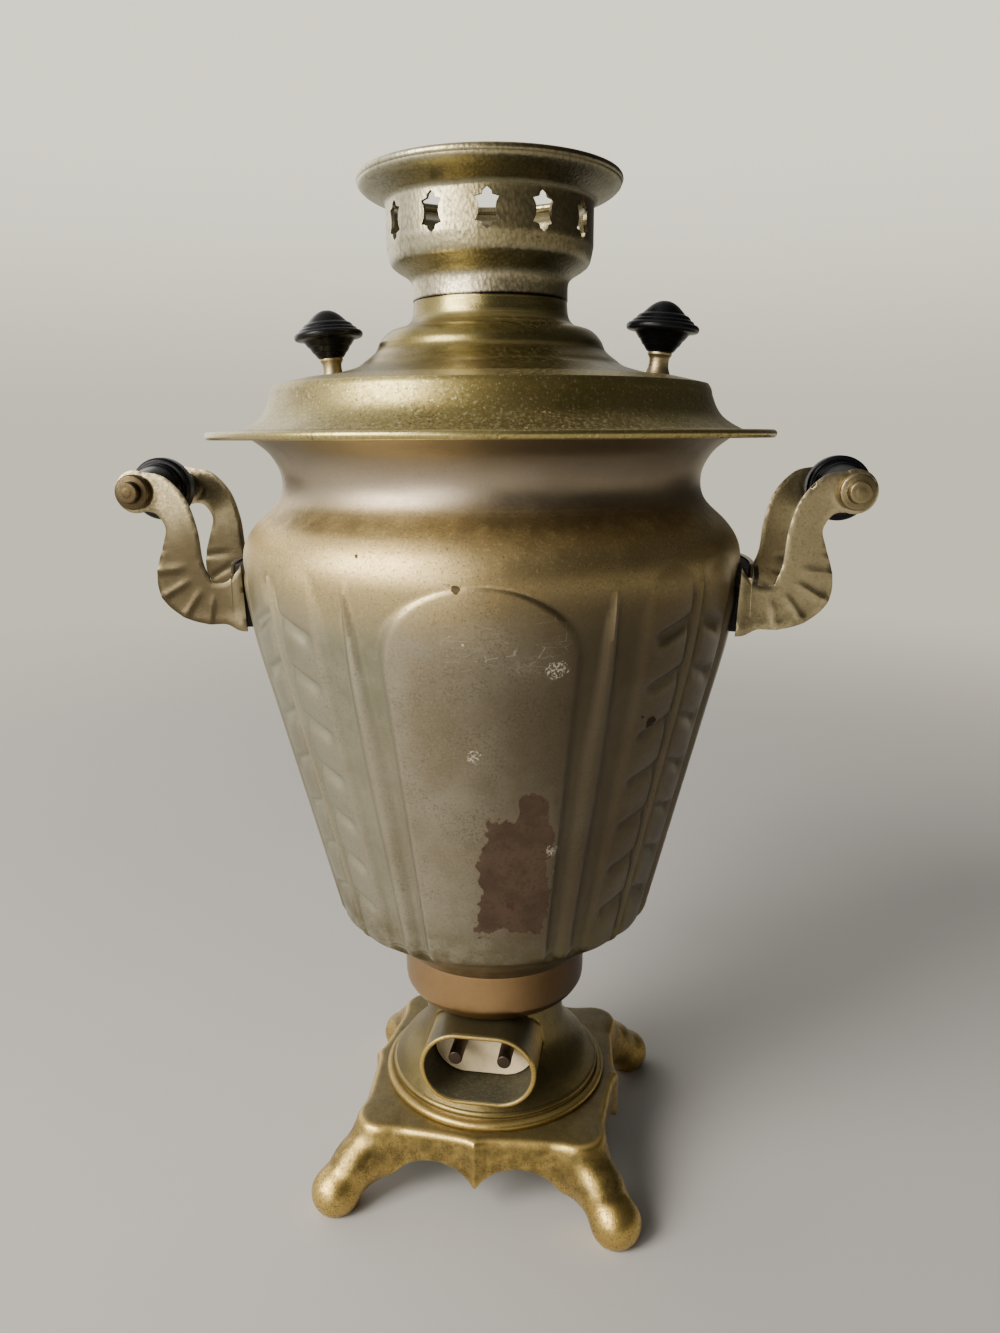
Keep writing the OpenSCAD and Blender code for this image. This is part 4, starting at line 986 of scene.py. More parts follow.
def tank_finish(colours):
    """The tank's brass, from its foot to its neck, with the flaked patch, scuffs and chips of its front,
    painted light on its left, painted shade on its right and under the ring, and a painted highlight on the
    shoulder.
    """
    f, tone, rough = aged_metal("Tank brass", colours.tank_light, colours.tank_dark, (0.06, 0.055, 0.035),
                                roughness=0.35, speckle=0.6, worn=0.55, grain=0.8)
    x, y, z = f.axes()

    # Grooves with painted shade near their tops, the golden band on the shoulder with a painted highlight,
    # and the neck with painted shade under the ring
    relief = f.math("SUBTRACT", 1.0, f.mark("relief"))
    deep = f.times(f.step(relief, 0.2, 0.95), f.step(f.noise(9, 4, 0.65), 0.25, 0.6, 0.4, 1.0))
    # Green-grey patina in the grooves, made stronger towards the top as painted shade
    tone = f.mix(f.times(deep, f.step(z, 0.16, 0.235, 0.4, 0.7)), tone, colours.groove_patina_and_shade)
    # The shoulder's band is gold tarnish and a painted highlight, lighter than the tank round it
    upper = f.times(f.step(f.add(z, f.times(f.noise(18, 3), 0.012)), 0.234, 0.262), f.step(z, 0.279, 0.267))
    tone = f.mix(f.times(upper, 0.7), tone, colours.shoulder_gold_and_highlight)
    sprinkle = f.times(upper, f.step(f.noise(0.8, 3, 0.7), 0.56, 0.68))
    tone = f.mix(f.times(sprinkle, 0.6), tone, (0.05, 0.04, 0.02))
    sparks = f.times(upper, f.step(f.noise(0.9, 2, 0.6), 0.44, 0.36))
    tone = f.mix(f.times(sparks, 0.4), tone, (0.90, 0.76, 0.45))
    tone = f.mix(f.times(f.step(z, 0.266, 0.276), 0.7), tone, colours.neck)
    # Painted shade: the top of the neck darker under the ring's flare
    tone = f.mix(f.step(z, 0.280, 0.289, 0.0, 0.55), tone, (0.17, 0.15, 0.105))
    crease = f.times(f.step(f.off(z, 0.2665), 0.006, 0.0), f.step(f.noise(7, 4), 0.3, 0.6))
    tone = f.mix(f.times(crease, 0.45), tone, (0.13, 0.105, 0.05))

    # Painted light and shade: greener and paler to the left where the light falls, browner to the right and
    # on the neck's right where the shade falls; darker and browner at the foot
    painted_light_left = f.times(f.step(f.times(x, -1.0), 0.0, 0.075), f.step(z, 0.262, 0.24))
    tone = f.mix(f.times(painted_light_left, 0.35), tone, (0.36, 0.37, 0.27))
    painted_shade_right = f.times(f.step(f.add(x, f.times(f.noise(30, 3), 0.02)), -0.012, 0.05), f.step(z, 0.27, 0.24))
    tone = f.mix(f.times(painted_shade_right, 0.82), tone, (0.066, 0.048, 0.027))
    # Painted shade: the neck darker on the right
    shaded = f.times(f.step(x, -0.012, 0.05), f.step(z, 0.263, 0.272))
    tone = f.mix(f.times(shaded, 0.62), tone, (0.11, 0.078, 0.048))
    foot = f.times(f.step(z, 0.135, 0.112), f.step(f.noise(8, 4, 0.65), 0.35, 0.6))
    tone = f.mix(f.times(foot, 0.65), tone, (0.13, 0.115, 0.055))

    # The flaked patch, with a fringe round it
    front = f.step(f.times(y, -1.0), 0.03, 0.045)
    main = block(f, f.add(x, f.times(z, -0.1)), z, 3.4, 148.5, 10.6, 22.5)
    tongue = block(f, x, z, 25.5, 170, 4.6, 10)
    shape = f.math("SMOOTH_MIN", main, tongue, 0.2)
    rag = f.add(f.times(f.noise(11, 6, 0.66), 1.3), f.times(f.noise(2.2, 3), 0.25), -0.8)
    bare = f.times(f.step(f.add(shape, rag), 1.02, 0.96), front)
    fringe = f.times(f.step(f.add(shape, rag), 1.3, 0.98), front)
    tone = f.mix(f.times(fringe, 0.2), tone, (0.24, 0.19, 0.13))
    under = f.mix(f.step(f.noise(9, 4), 0.35, 0.65), colours.bare_patch, shade(colours.bare_patch, 0.74))
    pits = f.times(f.step(f.noise(1.3, 3), 0.52, 0.66), 0.4)
    tone = f.mix(bare, tone, f.mix(pits, under, (0.06, 0.04, 0.026)))
    tone = f.mix(f.times(spot(f, 15, -64, 139, 3.4, 1.3), 0.7), tone, (0.085, 0.04, 0.026))

    # Scratches, pale scuffs and dark chips
    lines = f.step(f.cells(15, f.scaled((1.0, 1.0, 3.4)), "DISTANCE_TO_EDGE"), 0.016, 0.004)
    rubbed = f.step(block(f, x, z, 18, 232, 19, 9), 1.15, 0.8)
    scratches = f.times(lines, rubbed, front, f.step(f.noise(4, 2), 0.42, 0.55))
    flecks = f.step(f.noise(0.9, 3, 0.7), 0.47, 0.56)
    scuffs = f.most(spot(f, 32.6, -82, 224, 3.4, 1.1), spot(f, 7.7, -81.4, 196, 2.6, 1.2),
                    spot(f, 30.4, -66, 159, 2.4, 1.2), spot(f, 32, -64, 150, 1.6, 1.2))
    haze = f.times(rubbed, front, f.step(f.noise(12, 4, 0.7), 0.45, 0.65), flecks, 0.16)
    scuffs = f.add(f.times(scuffs, flecks), haze)
    scuffs = f.most(scuffs, f.times(scratches, 0.35), spot(f, 6, -90, 233, 0.6, 0.2))
    tone = f.mix(f.times(scuffs, 0.6), tone, (0.62, 0.57, 0.44))
    chips = f.most(spot(f, 4.4, -91.6, 249.5, 1.4, 0.8), spot(f, 61.2, -56.6, 202, 2.2, 0.9),
                   spot(f, 58, -59.6, 205, 1.4, 0.9), spot(f, -27, -84.6, 257.6, 1.1, 0.9))
    tone = f.mix(f.times(chips, 0.8), tone, (0.03, 0.018, 0.012))

    f.set("Base Color", tone)
    f.set("Roughness", f.add(rough, f.times(bare, 0.06), f.times(deep, 0.06), f.times(scuffs, 0.2),
                             f.times(chips, 0.3), f.times(upper, 0.03)))
    worn_off = f.add(f.times(bare, 0.2), f.times(deep, 0.15), f.times(scuffs, 0.6))
    f.set("Metallic", f.math("SUBTRACT", f.linked("Metallic"), worn_off, clamp=True))
    cut = f.add(f.times(bare, -1.0), f.times(chips, -1.5), f.times(scratches, -0.3))
    f.set("Normal", f.bump(cut, 0.05, f.linked("Normal")))
    return f.material


def ring_finish(colours):
    """Brass with fine bright sparks and dust, and painted light that makes it paler to the left."""
    f, tone, _ = aged_metal("Ring brass", colours.ring_light, colours.ring_dark, (0.045, 0.035, 0.014),
                            roughness=0.34, speckle=1.0, worn=0.6, grain=1.1, dust=0.35)
    x = f.axes()[0]
    # Painted light: paler to the left
    tone = f.mix(f.times(f.step(f.times(x, -1.0), 0.03, 0.09), 0.4), tone, (0.56, 0.51, 0.38))
    sparks = f.step(f.noise(1.0, 3, 0.6), 0.42, 0.33)
    f.set("Base Color", f.mix(f.times(sparks, 0.5), tone, (0.80, 0.70, 0.40)))
    return f.material


def lid_finish(colours):
    """Smoother brass with upright streaks, a dark line at the seam under the crown, painted shade on the
    right and painted light on the left.
    """
    f, tone, _ = aged_metal("Lid brass", colours.ring_light, colours.ring_dark, (0.04, 0.03, 0.012),
                            roughness=0.25, speckle=0.45, worn=0.6, dust=0.2)
    x, _, z = f.axes()
    # Painted shade to the right, then painted light to the left
    tone = f.mix(f.times(f.step(x, 0.005, 0.075), 0.82), tone, (0.068, 0.052, 0.025))
    tone = f.mix(f.times(f.step(f.times(x, -1.0), 0.02, 0.09), 0.5), tone, (0.56, 0.51, 0.38))
    streaks = f.step(f.noise(1, 4, 0.6, place=f.scaled((0.035, 0.035, 0.22))), 0.5, 0.68)
    tone = f.mix(f.times(streaks, 0.45), tone, (0.10, 0.068, 0.014))
    seam = f.times(f.step(z, 0.3388, 0.3394), f.step(z, 0.3402, 0.3398))
    f.set("Base Color", f.mix(seam, tone, (0.03, 0.022, 0.01)))
    return f.material


def crown_finish(colours):
    """Greyer brass with a skin like orange peel, greenish where it faces down, with painted light on its left
    and painted shade on its right.
    """
    f, tone, _ = aged_metal("Crown brass", colours.crown_light, colours.crown_dark, (0.05, 0.045, 0.02),
                            roughness=0.34, speckle=0.95, worn=0.6, grain=1.0, dust=0.2)
    x, _, z = f.axes()
    # Painted light on the left: grey-green blotches, a pale tone and a pale lower neck; painted shade: darker
    # brown to the right
    green = f.times(f.step(f.noise(20, 4, 0.6), 0.44, 0.62), f.step(f.times(x, -1.0), -0.01, 0.03))
    tone = f.mix(f.times(green, 0.4), tone, (0.27, 0.27, 0.18))
    tone = f.mix(f.times(f.step(x, -0.002, 0.038), 0.82), tone, (0.075, 0.058, 0.03))
    tone = f.mix(f.times(f.step(f.times(x, -1.0), 0.0, 0.04), 0.75), tone, (0.72, 0.68, 0.53))
    tone = f.mix(f.times(f.step(z, 0.353, 0.349), f.step(x, 0.03, 0.0, 0.0, 0.5)), tone, (0.70, 0.62, 0.47))
    tone = f.mix(f.times(f.step(f.upward(), -0.1, -0.6), 0.65), tone, (0.21, 0.21, 0.155))
    peel = f.cells(1.15, f.scaled((1.0, 1.0, 0.6)))
    pores = f.times(f.step(peel, 0.35, 0.75), f.step(f.noise(14, 3), 0.35, 0.6, 0.1, 0.4))
    tone = f.mix(pores, tone, (0.10, 0.075, 0.03))
    f.set("Base Color", f.mix(f.step(z, 0.3404, 0.3398, 0, 0.85), tone, (0.03, 0.022, 0.01)))
    f.set("Normal", f.bump(peel, 0.07, f.linked("Normal")))
    return f.material


def copper_finish(colours):
    """Satin band, with painted shade that makes it darker to the right."""
    f, tone, _ = aged_metal("Satin copper bronze", colours.copper, shade(colours.copper, 0.6),
                            (0.05, 0.03, 0.015), roughness=0.30, speckle=0.12, worn=0.3, cloudy=0.5)
    # Painted shade: darker to the right
    f.set("Base Color", f.mix(f.step(f.axes()[0], 0.0, 0.03, 0.0, 0.9), tone, (0.05, 0.028, 0.014)))
    return f.material


def cast_finish(colours):
    """Gilt casting: worn gold over dense dark grains, olive where dust and verdigris lie."""
    light, dark = colours.cast_gold, colours.cast_olive
    f = Finish("Gilt casting", Coat_Weight=0.12, Coat_Roughness=0.12)
    z = f.axes()[2]
    wear = f.mark("wear")
    grain = f.most(f.step(f.noise(0.8, 3, 0.75), 0.50, 0.62), f.step(f.noise(0.5, 2), 0.56, 0.66))
    clouds = f.step(f.noise(17, 5, 0.65, 0.8), 0.36, 0.64)
    flat = f.times(f.step(f.upward(), 0.55, 0.95), f.step(z, 0.026, 0.031), f.step(z, 0.040, 0.036))
    hollow = f.step(f.add(wear, f.times(f.noise(2.5, 4), -0.12)), -0.02, 0.16)
    edge = f.step(f.times(wear, -1.0), 0.04, 0.26)
    domed = f.step(z, 0.0322, 0.038)
    tone = f.mix(f.times(clouds, 0.65), light, shade(light, 0.55))
    tone = f.mix(f.times(domed, 0.8), tone, f.mix(clouds, shade(dark, 1.15), dark))
    dusty = f.mix(f.step(f.noise(2.4, 5, 0.7), 0.35, 0.65), shade(dark, 0.5), shade(dark, 0.95))
    tone = f.mix(f.times(flat, 0.85), tone, dusty)
    tone = f.mix(f.times(edge, f.math("SUBTRACT", 0.5, f.times(domed, 0.35))), tone, shade(light, 1.15))
    dark_grain = f.times(grain, f.step(f.noise(6, 4, 0.6), 0.35, 0.6, 0.45, 1.0),
                         f.step(z, 0.03, 0.012, 0.4, 0.8))
    apron = f.times(f.step(z, 0.014, 0.019), f.step(z, 0.0322, 0.029))
    tone = f.mix(f.times(apron, f.step(f.noise(5, 5, 0.7), 0.35, 0.62, 0.15, 0.6)), tone, shade(dark, 0.7))
    tone = f.mix(dark_grain, tone, (0.05, 0.038, 0.012))
    tone = f.mix(f.times(hollow, 0.9), tone, (0.035, 0.04, 0.022))
    f.set("Base Color", tone)
    soil = f.add(f.times(dark_grain, 0.35), f.times(hollow, 0.6), f.times(flat, 0.35))
    f.set("Metallic", f.rest(soil))
    f.set("Roughness", f.add(0.37, f.times(soil, 0.3), f.times(domed, 0.05), f.times(edge, -0.06)))
    f.set("Normal", f.bump(f.noise(6, 3), 0.22, f.bump(f.noise(0.9, 3, 0.75), 0.09)))
    return f.material


def shroud_finish(colours):
    """Oxidised brass tube: bright at the rubbed rim, black-green with dust inside."""
    f, tone, rough = aged_metal("Inlet brass", colours.cast_gold, colours.cast_olive, (0.02, 0.022, 0.012),
                                roughness=0.36, speckle=0.6, worn=0.45)
    inner = f.mark("inner")
    top = f.times(f.step(f.upward(), 0.2, 0.8), f.math("SUBTRACT", 1.0, inner))
    tone = f.mix(f.times(top, 0.9), tone, (0.05, 0.052, 0.034))
    lint = f.step(f.noise(1.4, 5, 0.8), 0.48, 0.64)
    floor_dirt = f.mix(f.times(lint, 0.5), (0.016, 0.02, 0.014), (0.10, 0.10, 0.07))
    tone = f.mix(f.times(inner, 0.93), tone, floor_dirt)
    f.set("Base Color", tone)
    f.set("Metallic", f.rest(f.add(f.times(inner, 0.85), f.times(top, 0.35))))
    f.set("Roughness", f.add(rough, f.times(inner, 0.3)))
    return f.material


def bakelite_finish(colours):
    """Moulded black phenolic: polished, with faint flow clouds, dust and hairline wear."""
    f = Finish("Black phenolic", IOR=1.28)
    clouds = f.step(f.noise(6, 4), 0.35, 0.65)
    lint = f.times(f.step(f.noise(0.8, 4, 0.8), 0.60, 0.68), f.step(f.noise(7, 3), 0.45, 0.6))
    edge = f.step(f.times(f.mark("wear"), -1.0), 0.15, 0.6)
    tone = f.mix(clouds, colours.phenolic, shade(colours.phenolic, 0.55))
    tone = f.mix(f.times(edge, 0.2), tone, (0.02, 0.021, 0.026))
    tone = f.mix(f.times(lint, 0.15), tone, (0.12, 0.115, 0.10))
    f.set("Base Color", tone)
    f.set("Roughness", f.add(0.26, f.times(clouds, 0.08), f.times(lint, 0.3)))
    f.set("Normal", f.bump(f.noise(2.4, 3), 0.02))
    return f.material


def insulator_finish(colours):
    """Cream ceramic with brown stains, dark motes and soiled corners."""
    f = Finish("Cream moulding", IOR=1.5)
    stains = f.step(f.noise(7, 5, 0.7), 0.45, 0.7)
    motes = f.step(f.noise(0.7, 3, 0.8), 0.63, 0.7)
    hollow = f.step(f.mark("wear"), 0.0, 0.3)
    tone = f.mix(f.times(stains, 0.25), colours.cream, (0.42, 0.33, 0.20))
    tone = f.mix(f.times(motes, 0.6), tone, (0.10, 0.08, 0.05))
    tone = f.mix(f.times(hollow, 0.3), tone, (0.12, 0.09, 0.05))
    f.set("Base Color", tone)
    f.set("Roughness", f.add(0.42, f.times(stains, 0.2)))
    f.set("Normal", f.bump(f.noise(1.2, 3), 0.03))
    return f.material


def plain_metal(name, colour, roughness, soil=0.35, left=None):
    """Metal of fittings, with fine grain, tarnish clouds, specks and at times another colour on the left."""
    f, grain = Finish(name), 1.2
    clouds = f.step(f.noise(8, 5, 0.65), 0.35, 0.68)
    specks = f.times(f.step(f.noise(grain, 4, 0.75), 0.55, 0.66), soil)
    edge = f.step(f.times(f.mark("wear"), -1.0), 0.08, 0.4)
    tone = f.mix(clouds, colour, shade(colour, 0.62))
    tone = f.mix(f.times(edge, 0.4), tone, shade(colour, 1.25))
    if left:
        tone = f.mix(f.step(f.axes()[0], 0.02, -0.02, 0.0, 0.8), tone, left)
    tone = f.mix(specks, tone, shade(colour, 0.18))
    f.set("Base Color", tone)
    f.set("Metallic", f.rest(f.times(specks, 0.6)))
    f.set("Roughness", f.add(roughness, f.times(clouds, 0.1), f.times(specks, 0.3)))
    f.set("Normal", f.bump(f.noise(grain, 3, 0.7), 0.035, f.bump(f.noise(7, 2), 0.06)))
    return f.material


def bracket_finish(colours):
    """Stamped brass, darker below and near the tank, rubbed above, and browner on the left."""
    f, tone, _ = aged_metal("Bracket brass", colours.bracket_light, colours.bracket_dark,
                            (0.045, 0.04, 0.015), roughness=0.30, speckle=0.45, worn=0.35)
    x, _, z = f.axes()
    soil = f.times(f.step(f.noise(12, 5, 0.7), 0.45, 0.66), f.step(z, 0.262, 0.236))
    tone = f.mix(f.times(soil, 0.6), tone, (0.10, 0.095, 0.045))
    near = f.times(f.step(f.math("ABSOLUTE", x), 0.102, 0.092), f.step(f.noise(8, 4), 0.3, 0.6, 0.6, 1.0))
    tone = f.mix(f.times(near, 0.5), tone, (0.07, 0.055, 0.03))
    left = f.step(x, -0.08, -0.1)
    brown = f.times(left, f.step(f.add(z, f.times(f.noise(10, 4), 0.02)), 0.286, 0.262, 0.2, 0.92))
    tone = f.mix(brown, tone, (0.062, 0.048, 0.026))
    rubbed = f.times(f.step(f.noise(1.1, 4, 0.7), 0.5, 0.6), f.step(z, 0.262, 0.272))
    f.set("Base Color", f.mix(f.times(rubbed, 0.5), tone, (0.60, 0.50, 0.29)))
    return f.material


def dull_rubber(name, colour, roughness=0.75):
    """Rubber, seal or sleeve with a pale bloom and motes."""
    f = Finish(name)
    bloom = f.step(f.noise(5, 5, 0.7), 0.4, 0.7)
    motes = f.step(f.noise(0.8, 3, 0.8), 0.6, 0.7)
    tone = f.mix(f.times(bloom, 0.5), colour, shade(colour, 1.9))
    f.set("Base Color", f.mix(f.times(motes, 0.4), tone, (0.16, 0.15, 0.12)))
    f.set("Roughness", f.add(roughness, f.times(bloom, 0.1)))
    f.set("Normal", f.bump(f.noise(1.0, 4, 0.7), 0.06))
    return f.material


def floor_finish(stage):
    """Pale floor that takes on the wall's glow with distance, so that no horizon shows."""
    f = Finish("Pale floor", Specular_IOR_Level=0.0)
    drift = f.step(f.noise(320, 3), 0.3, 0.7)
    away = f.node("ShaderNodeVectorMath", operation="LENGTH")
    f.put(away.inputs[0], f.place)
    far = f.step(away.outputs["Value"], 0.4, 1.5)
    near = f.mix(f.times(drift, 0.5), stage.floor, shade(stage.floor, 0.93))
    f.set("Base Color", f.mix(far, near, (0.0, 0.0, 0.0)))
    f.set("Roughness", f.add(0.62, f.times(drift, 0.08)))
    f.set("Emission Color", stage.wall_tint)
    f.set("Emission Strength", f.times(far, LOW_WALL * stage.wall))
    f.set("Normal", f.bump(f.noise(3, 4), 0.03))
    return f.material


# ---- What a user may change ----
def linear(red, green, blue):
    """Linear colour of an everyday 0 to 255 one."""
    return tuple((c / 255 / 12.92) if c < 10.3 else ((c / 255 + 0.055) / 1.055) ** 2.4
                 for c in (red, green, blue))


def colour_of(name, description, rgb):
    return FloatVectorProperty(name=name, description=description, subtype="COLOR", size=3, min=0, max=1,
                               default=linear(*rgb))


def length_of(name, description, default, low, high):
    return FloatProperty(name=name, description=description, default=default, min=low, max=high,
                         unit="LENGTH")


def angle_of(name, description, default):
    return FloatProperty(name=name, description=description, default=radians(default), subtype="ANGLE")


def count_of(name, description, default, low, high):
    return IntProperty(name=name, description=description, default=default, min=low, max=high)


def power_of(name, description, default):
    return FloatProperty(name=name, description=description, default=default, min=0, max=200, subtype="POWER")


def brightness_of(name, description, default):
    return FloatProperty(name=name, description=description, default=default, min=0, max=3, subtype="FACTOR")


class SamovarSizes(bpy.types.PropertyGroup):
    """Sizes of the mouldings and how finely they are made."""
    relief: length_of("Embossing depth", "Depth of the grooves pressed in the tank's wall", 0.0019, 0, 0.002)
    emboss_turn: angle_of("Front panel's angle", "Angle of the middle of the tank's front panel", 6.65)
    stars: count_of("Star openings", "Number of star openings in the crown's wall", 12, 6, 14)
    star_turn: angle_of("First star's angle", "Angle from the front to the first star opening", 8)
    columns: count_of("Wall columns", "Columns of faces round the embossed wall", 540, 120, 960)
    cast_step: length_of("Casting step", "Size of the faces of the cast base", 0.00075, 0.0006, 0.003)


class SamovarFinishes(bpy.types.PropertyGroup):
    """Colours of the metals, the black grips and the inlet."""
    tank_light: colour_of("Tank, light", "Clean metal of the tank's wall", (176, 168, 147))
    tank_dark: colour_of("Tank, tarnished", "Tarnished metal of the tank's wall", (134, 120, 96))
    # Green-grey of the grooves' patina, which also carries painted shade near their tops
    groove_patina_and_shade: colour_of("Groove green and shade", "Green-grey in the pressed grooves", (106, 104, 80))
    # Gold tarnish of the shoulder, made lighter as a painted highlight
    shoulder_gold_and_highlight: colour_of("Shoulder", "Golden tarnish above the panels", (222, 192, 124))
    neck: colour_of("Neck", "Greyer tarnish of the tank's neck", (172, 158, 140))
    bare_patch: colour_of("Bare patch", "Brown metal where the finish has flaked", (98, 80, 65))
    ring_light: colour_of("Ring, light", "Clean metal of the ring and the lid", (172, 158, 104))
    ring_dark: colour_of("Ring, tarnished", "Tarnished metal of the ring and the lid", (114, 98, 46))
    crown_light: colour_of("Crown, light", "Clean metal of the crown", (186, 174, 136))
    crown_dark: colour_of("Crown, tarnished", "Tarnished metal of the crown", (134, 122, 88))
    copper: colour_of("Collar", "Satin copper bronze of the collar", (184, 150, 106))
    cast_gold: colour_of("Casting, gilt", "Worn gold of the base", (216, 184, 106))
    cast_olive: colour_of("Casting, olive", "Dull olive of the base's dome", (84, 80, 56))
    bracket_light: colour_of("Brackets, light", "Clean metal of the handles' brackets", (186, 172, 136))
    bracket_dark: colour_of("Brackets, tarnished", "Tarnished metal of the handles' brackets", (134, 120, 90))
    phenolic: colour_of("Phenolic", "Black of the grips, the knobs and the tap's key", (9, 10, 13))
    cream: colour_of("Insulator", "Cream of the inlet's insulator", (255, 234, 188))


class SamovarStage(bpy.types.PropertyGroup):
    """Camera, lights and floor."""
    lens: FloatProperty(name="Lens", description="Focal length of the camera", default=27.0, min=10, max=120,
                        subtype="DISTANCE_CAMERA")
    stand: FloatVectorProperty(name="Camera", description="Where the camera stands",
                               default=(0.06205, -0.37390, 0.293), size=3, subtype="TRANSLATION",
                               unit="LENGTH")
    pitch: angle_of("Pitch", "How far the camera looks down", 12.98)
    yaw: angle_of("Yaw", "How far the camera is turned", 9.0)
    roll: angle_of("Roll", "How far the camera leans", -0.28)
    window: power_of("Window light", "Power of the large light on the left", 42.0)
    front: power_of("Front light", "Power of the soft light behind the camera", 5.0)
    back: power_of("Back light", "Power of the light behind on the left", 3.0)
    wall: brightness_of("Wall", "Brightness of the pale wall that the camera sees", 1.35)
    bright_side: brightness_of("Left of the room", "Brightness of the room on the window's side", 1.0)
    dark_side: brightness_of("Right of the room", "Brightness of the room away from the window", 0.06)
    wall_tint: colour_of("Wall's colour", "Colour of the pale wall", (255, 248, 226))
    floor: colour_of("Floor", "Colour of the pale floor", (190, 188, 184))


def soft_room(stage):
    """The room: a pale wall to look at, light from the window's side and shade on the other."""
    world = bpy.data.worlds.new("Soft room")
    world.use_nodes = True
    nodes, links = world.node_tree.nodes, world.node_tree.links
    sky = nodes["Background"]

    def wired(kind, *inputs, **settings):
        made = nodes.new(kind)
        for label, value in settings.items():
            setattr(made, label, value)
        for socket, value in zip(made.inputs, inputs):
            if isinstance(value, bpy.types.NodeSocket):
                links.new(value, socket)
            elif value is not None:
                socket.default_value = value
        return made
    heading = nodes.new("ShaderNodeTexCoord").outputs["Generated"]
    toward = wired("ShaderNodeVectorMath", heading, (-0.88, 0.25, 0.08),
                   operation="DOT_PRODUCT").outputs["Value"]
    room = wired("ShaderNodeMapRange", toward, -0.25, 0.75, stage.dark_side, stage.bright_side,
                 interpolation_type="SMOOTHSTEP").outputs[0]
    height = wired("ShaderNodeSeparateXYZ", heading).outputs[2]
    wall = wired("ShaderNodeMapRange", height, 0.0, 0.25, LOW_WALL * stage.wall, stage.wall,
                 interpolation_type="SMOOTHSTEP").outputs[0]
    seen = nodes.new("ShaderNodeLightPath").outputs["Is Camera Ray"]
    links.new(wired("ShaderNodeMix", seen, None, room, wall).outputs[0], sky.inputs["Strength"])
    tint = nodes.new("ShaderNodeMix")
    tint.data_type = "RGBA"
    links.new(seen, tint.inputs[0])
    tint.inputs[6].default_value = (0.96, 0.94, 0.89, 1)
    tint.inputs[7].default_value = (*stage.wall_tint, 1)
    links.new(tint.outputs[2], sky.inputs["Color"])
    return world


# ---- Operators ----
class SAMOVAR_OT_tank(bpy.types.Operator):
    """Makes the tank's wall with its arched panels, ribs and leaf columns"""
    bl_idname = "samovar.tank"
    bl_label = "Tank wall"

    def execute(self, context):
        sizes = context.scene.samovar_sizes
        colours = context.scene.samovar_finishes
        mesh, relief = tank_wall(sizes)
        piece("tank_wall", mesh, "samovar", tank_finish(colours), ("pan", "body", "neck"), 50,
              {"relief": relief})
        return {"FINISHED"}


class SAMOVAR_OT_ring(bpy.types.Operator):
    """Makes the ring with its beaded brim and the recess for the lid"""
    bl_idname = "samovar.ring"
    bl_label = "Ring"

    def execute(self, context):
        colours = context.scene.samovar_finishes
        piece("brim_ring", lathe(ring_outline(), 256), "samovar", ring_finish(colours),
              ("rim_ring",))
        return {"FINISHED"}


class SAMOVAR_OT_collar(bpy.types.Operator):
    """Makes the satin collar between the base and the tank"""
    bl_idname = "samovar.collar"
    bl_label = "Collar"

    def execute(self, context):
        colours = context.scene.samovar_finishes
        foot = Z_COLLAR + 0.1
        line = curve([(20.3, foot), (30, foot), (33.2, 73.2), (35.6, 76.1), (36.5, 79.8),
                      (36.5, Z_BODY - 0.1)])
        band = lathe(skin(line, SHEET), 192)
        piece("collar_band", band, "samovar", copper_finish(colours), ("collar",))
        return {"FINISHED"}


class SAMOVAR_OT_lid(bpy.types.Operator):
    """Makes the stepped lid with the spigot and steam holes under the crown"""
    bl_idname = "samovar.lid"
    bl_label = "Lid"

    def execute(self, context):
        colours = context.scene.samovar_finishes
        finish = lid_finish(colours)
        shell = joined(lathe(lid_outline(), 224), steam_plate())
        piece("lid_shell", shell, "lid_body", finish, ("lid",))
        dress(finish, "lid_skirt")
        return {"FINISHED"}


class SAMOVAR_OT_crown(bpy.types.Operator):
    """Makes the crown with its star openings and rolled rim"""
    bl_idname = "samovar.crown"
    bl_label = "Crown"

    def execute(self, context):
        sizes = context.scene.samovar_sizes
        colours = context.scene.samovar_finishes
        piece("crown_shell", crown_wall(sizes), "crown_body", crown_finish(colours),
              ("crown",))
        return {"FINISHED"}


class SAMOVAR_OT_base(bpy.types.Operator):
    """Makes the cast base with its dome, bowed sides and flowing legs"""
    bl_idname = "samovar.base"
    bl_label = "Cast base"

    def execute(self, context):
        sizes = context.scene.samovar_sizes
        colours = context.scene.samovar_finishes
        mesh = cast(base_field, (-64.8, -64.8, -1.2), (64.8, 64.8, 73.0), sizes.cast_step / MM)
        ridges = [lathe(circle(centre, r, 16), 240)
                  for centre, r in (((43.9, 33.9), 1.9), ((41.5, 37.3), 1.4))]
        piece("cast_base", joined(mesh, *ridges), "samovar", cast_finish(colours),
              ("base", "dome"), 60)
        return {"FINISHED"}


class SAMOVAR_OT_inlet(bpy.types.Operator):
    """Makes the oval inlet with its insulator and two pins"""
    bl_idname = "samovar.inlet"
    bl_label = "Inlet"

    def execute(self, context):
        colours = context.scene.samovar_finishes
        mesh, inner = shroud()
        piece("inlet_tube", mesh, "samovar", shroud_finish(colours), ("inlet_shroud",), 50,
              {"inner": inner})
        piece("inlet_block", insulator(), "samovar", insulator_finish(colours),
              ("inlet_insulator",))
        dark = plain_metal("Dark pins", linear(78, 66, 56), 0.42, soil=0.5)
        piece("inlet_contacts", pins(), "samovar", dark,
              ("left_inlet_pin", "right_inlet_pin"))
        return {"FINISHED"}


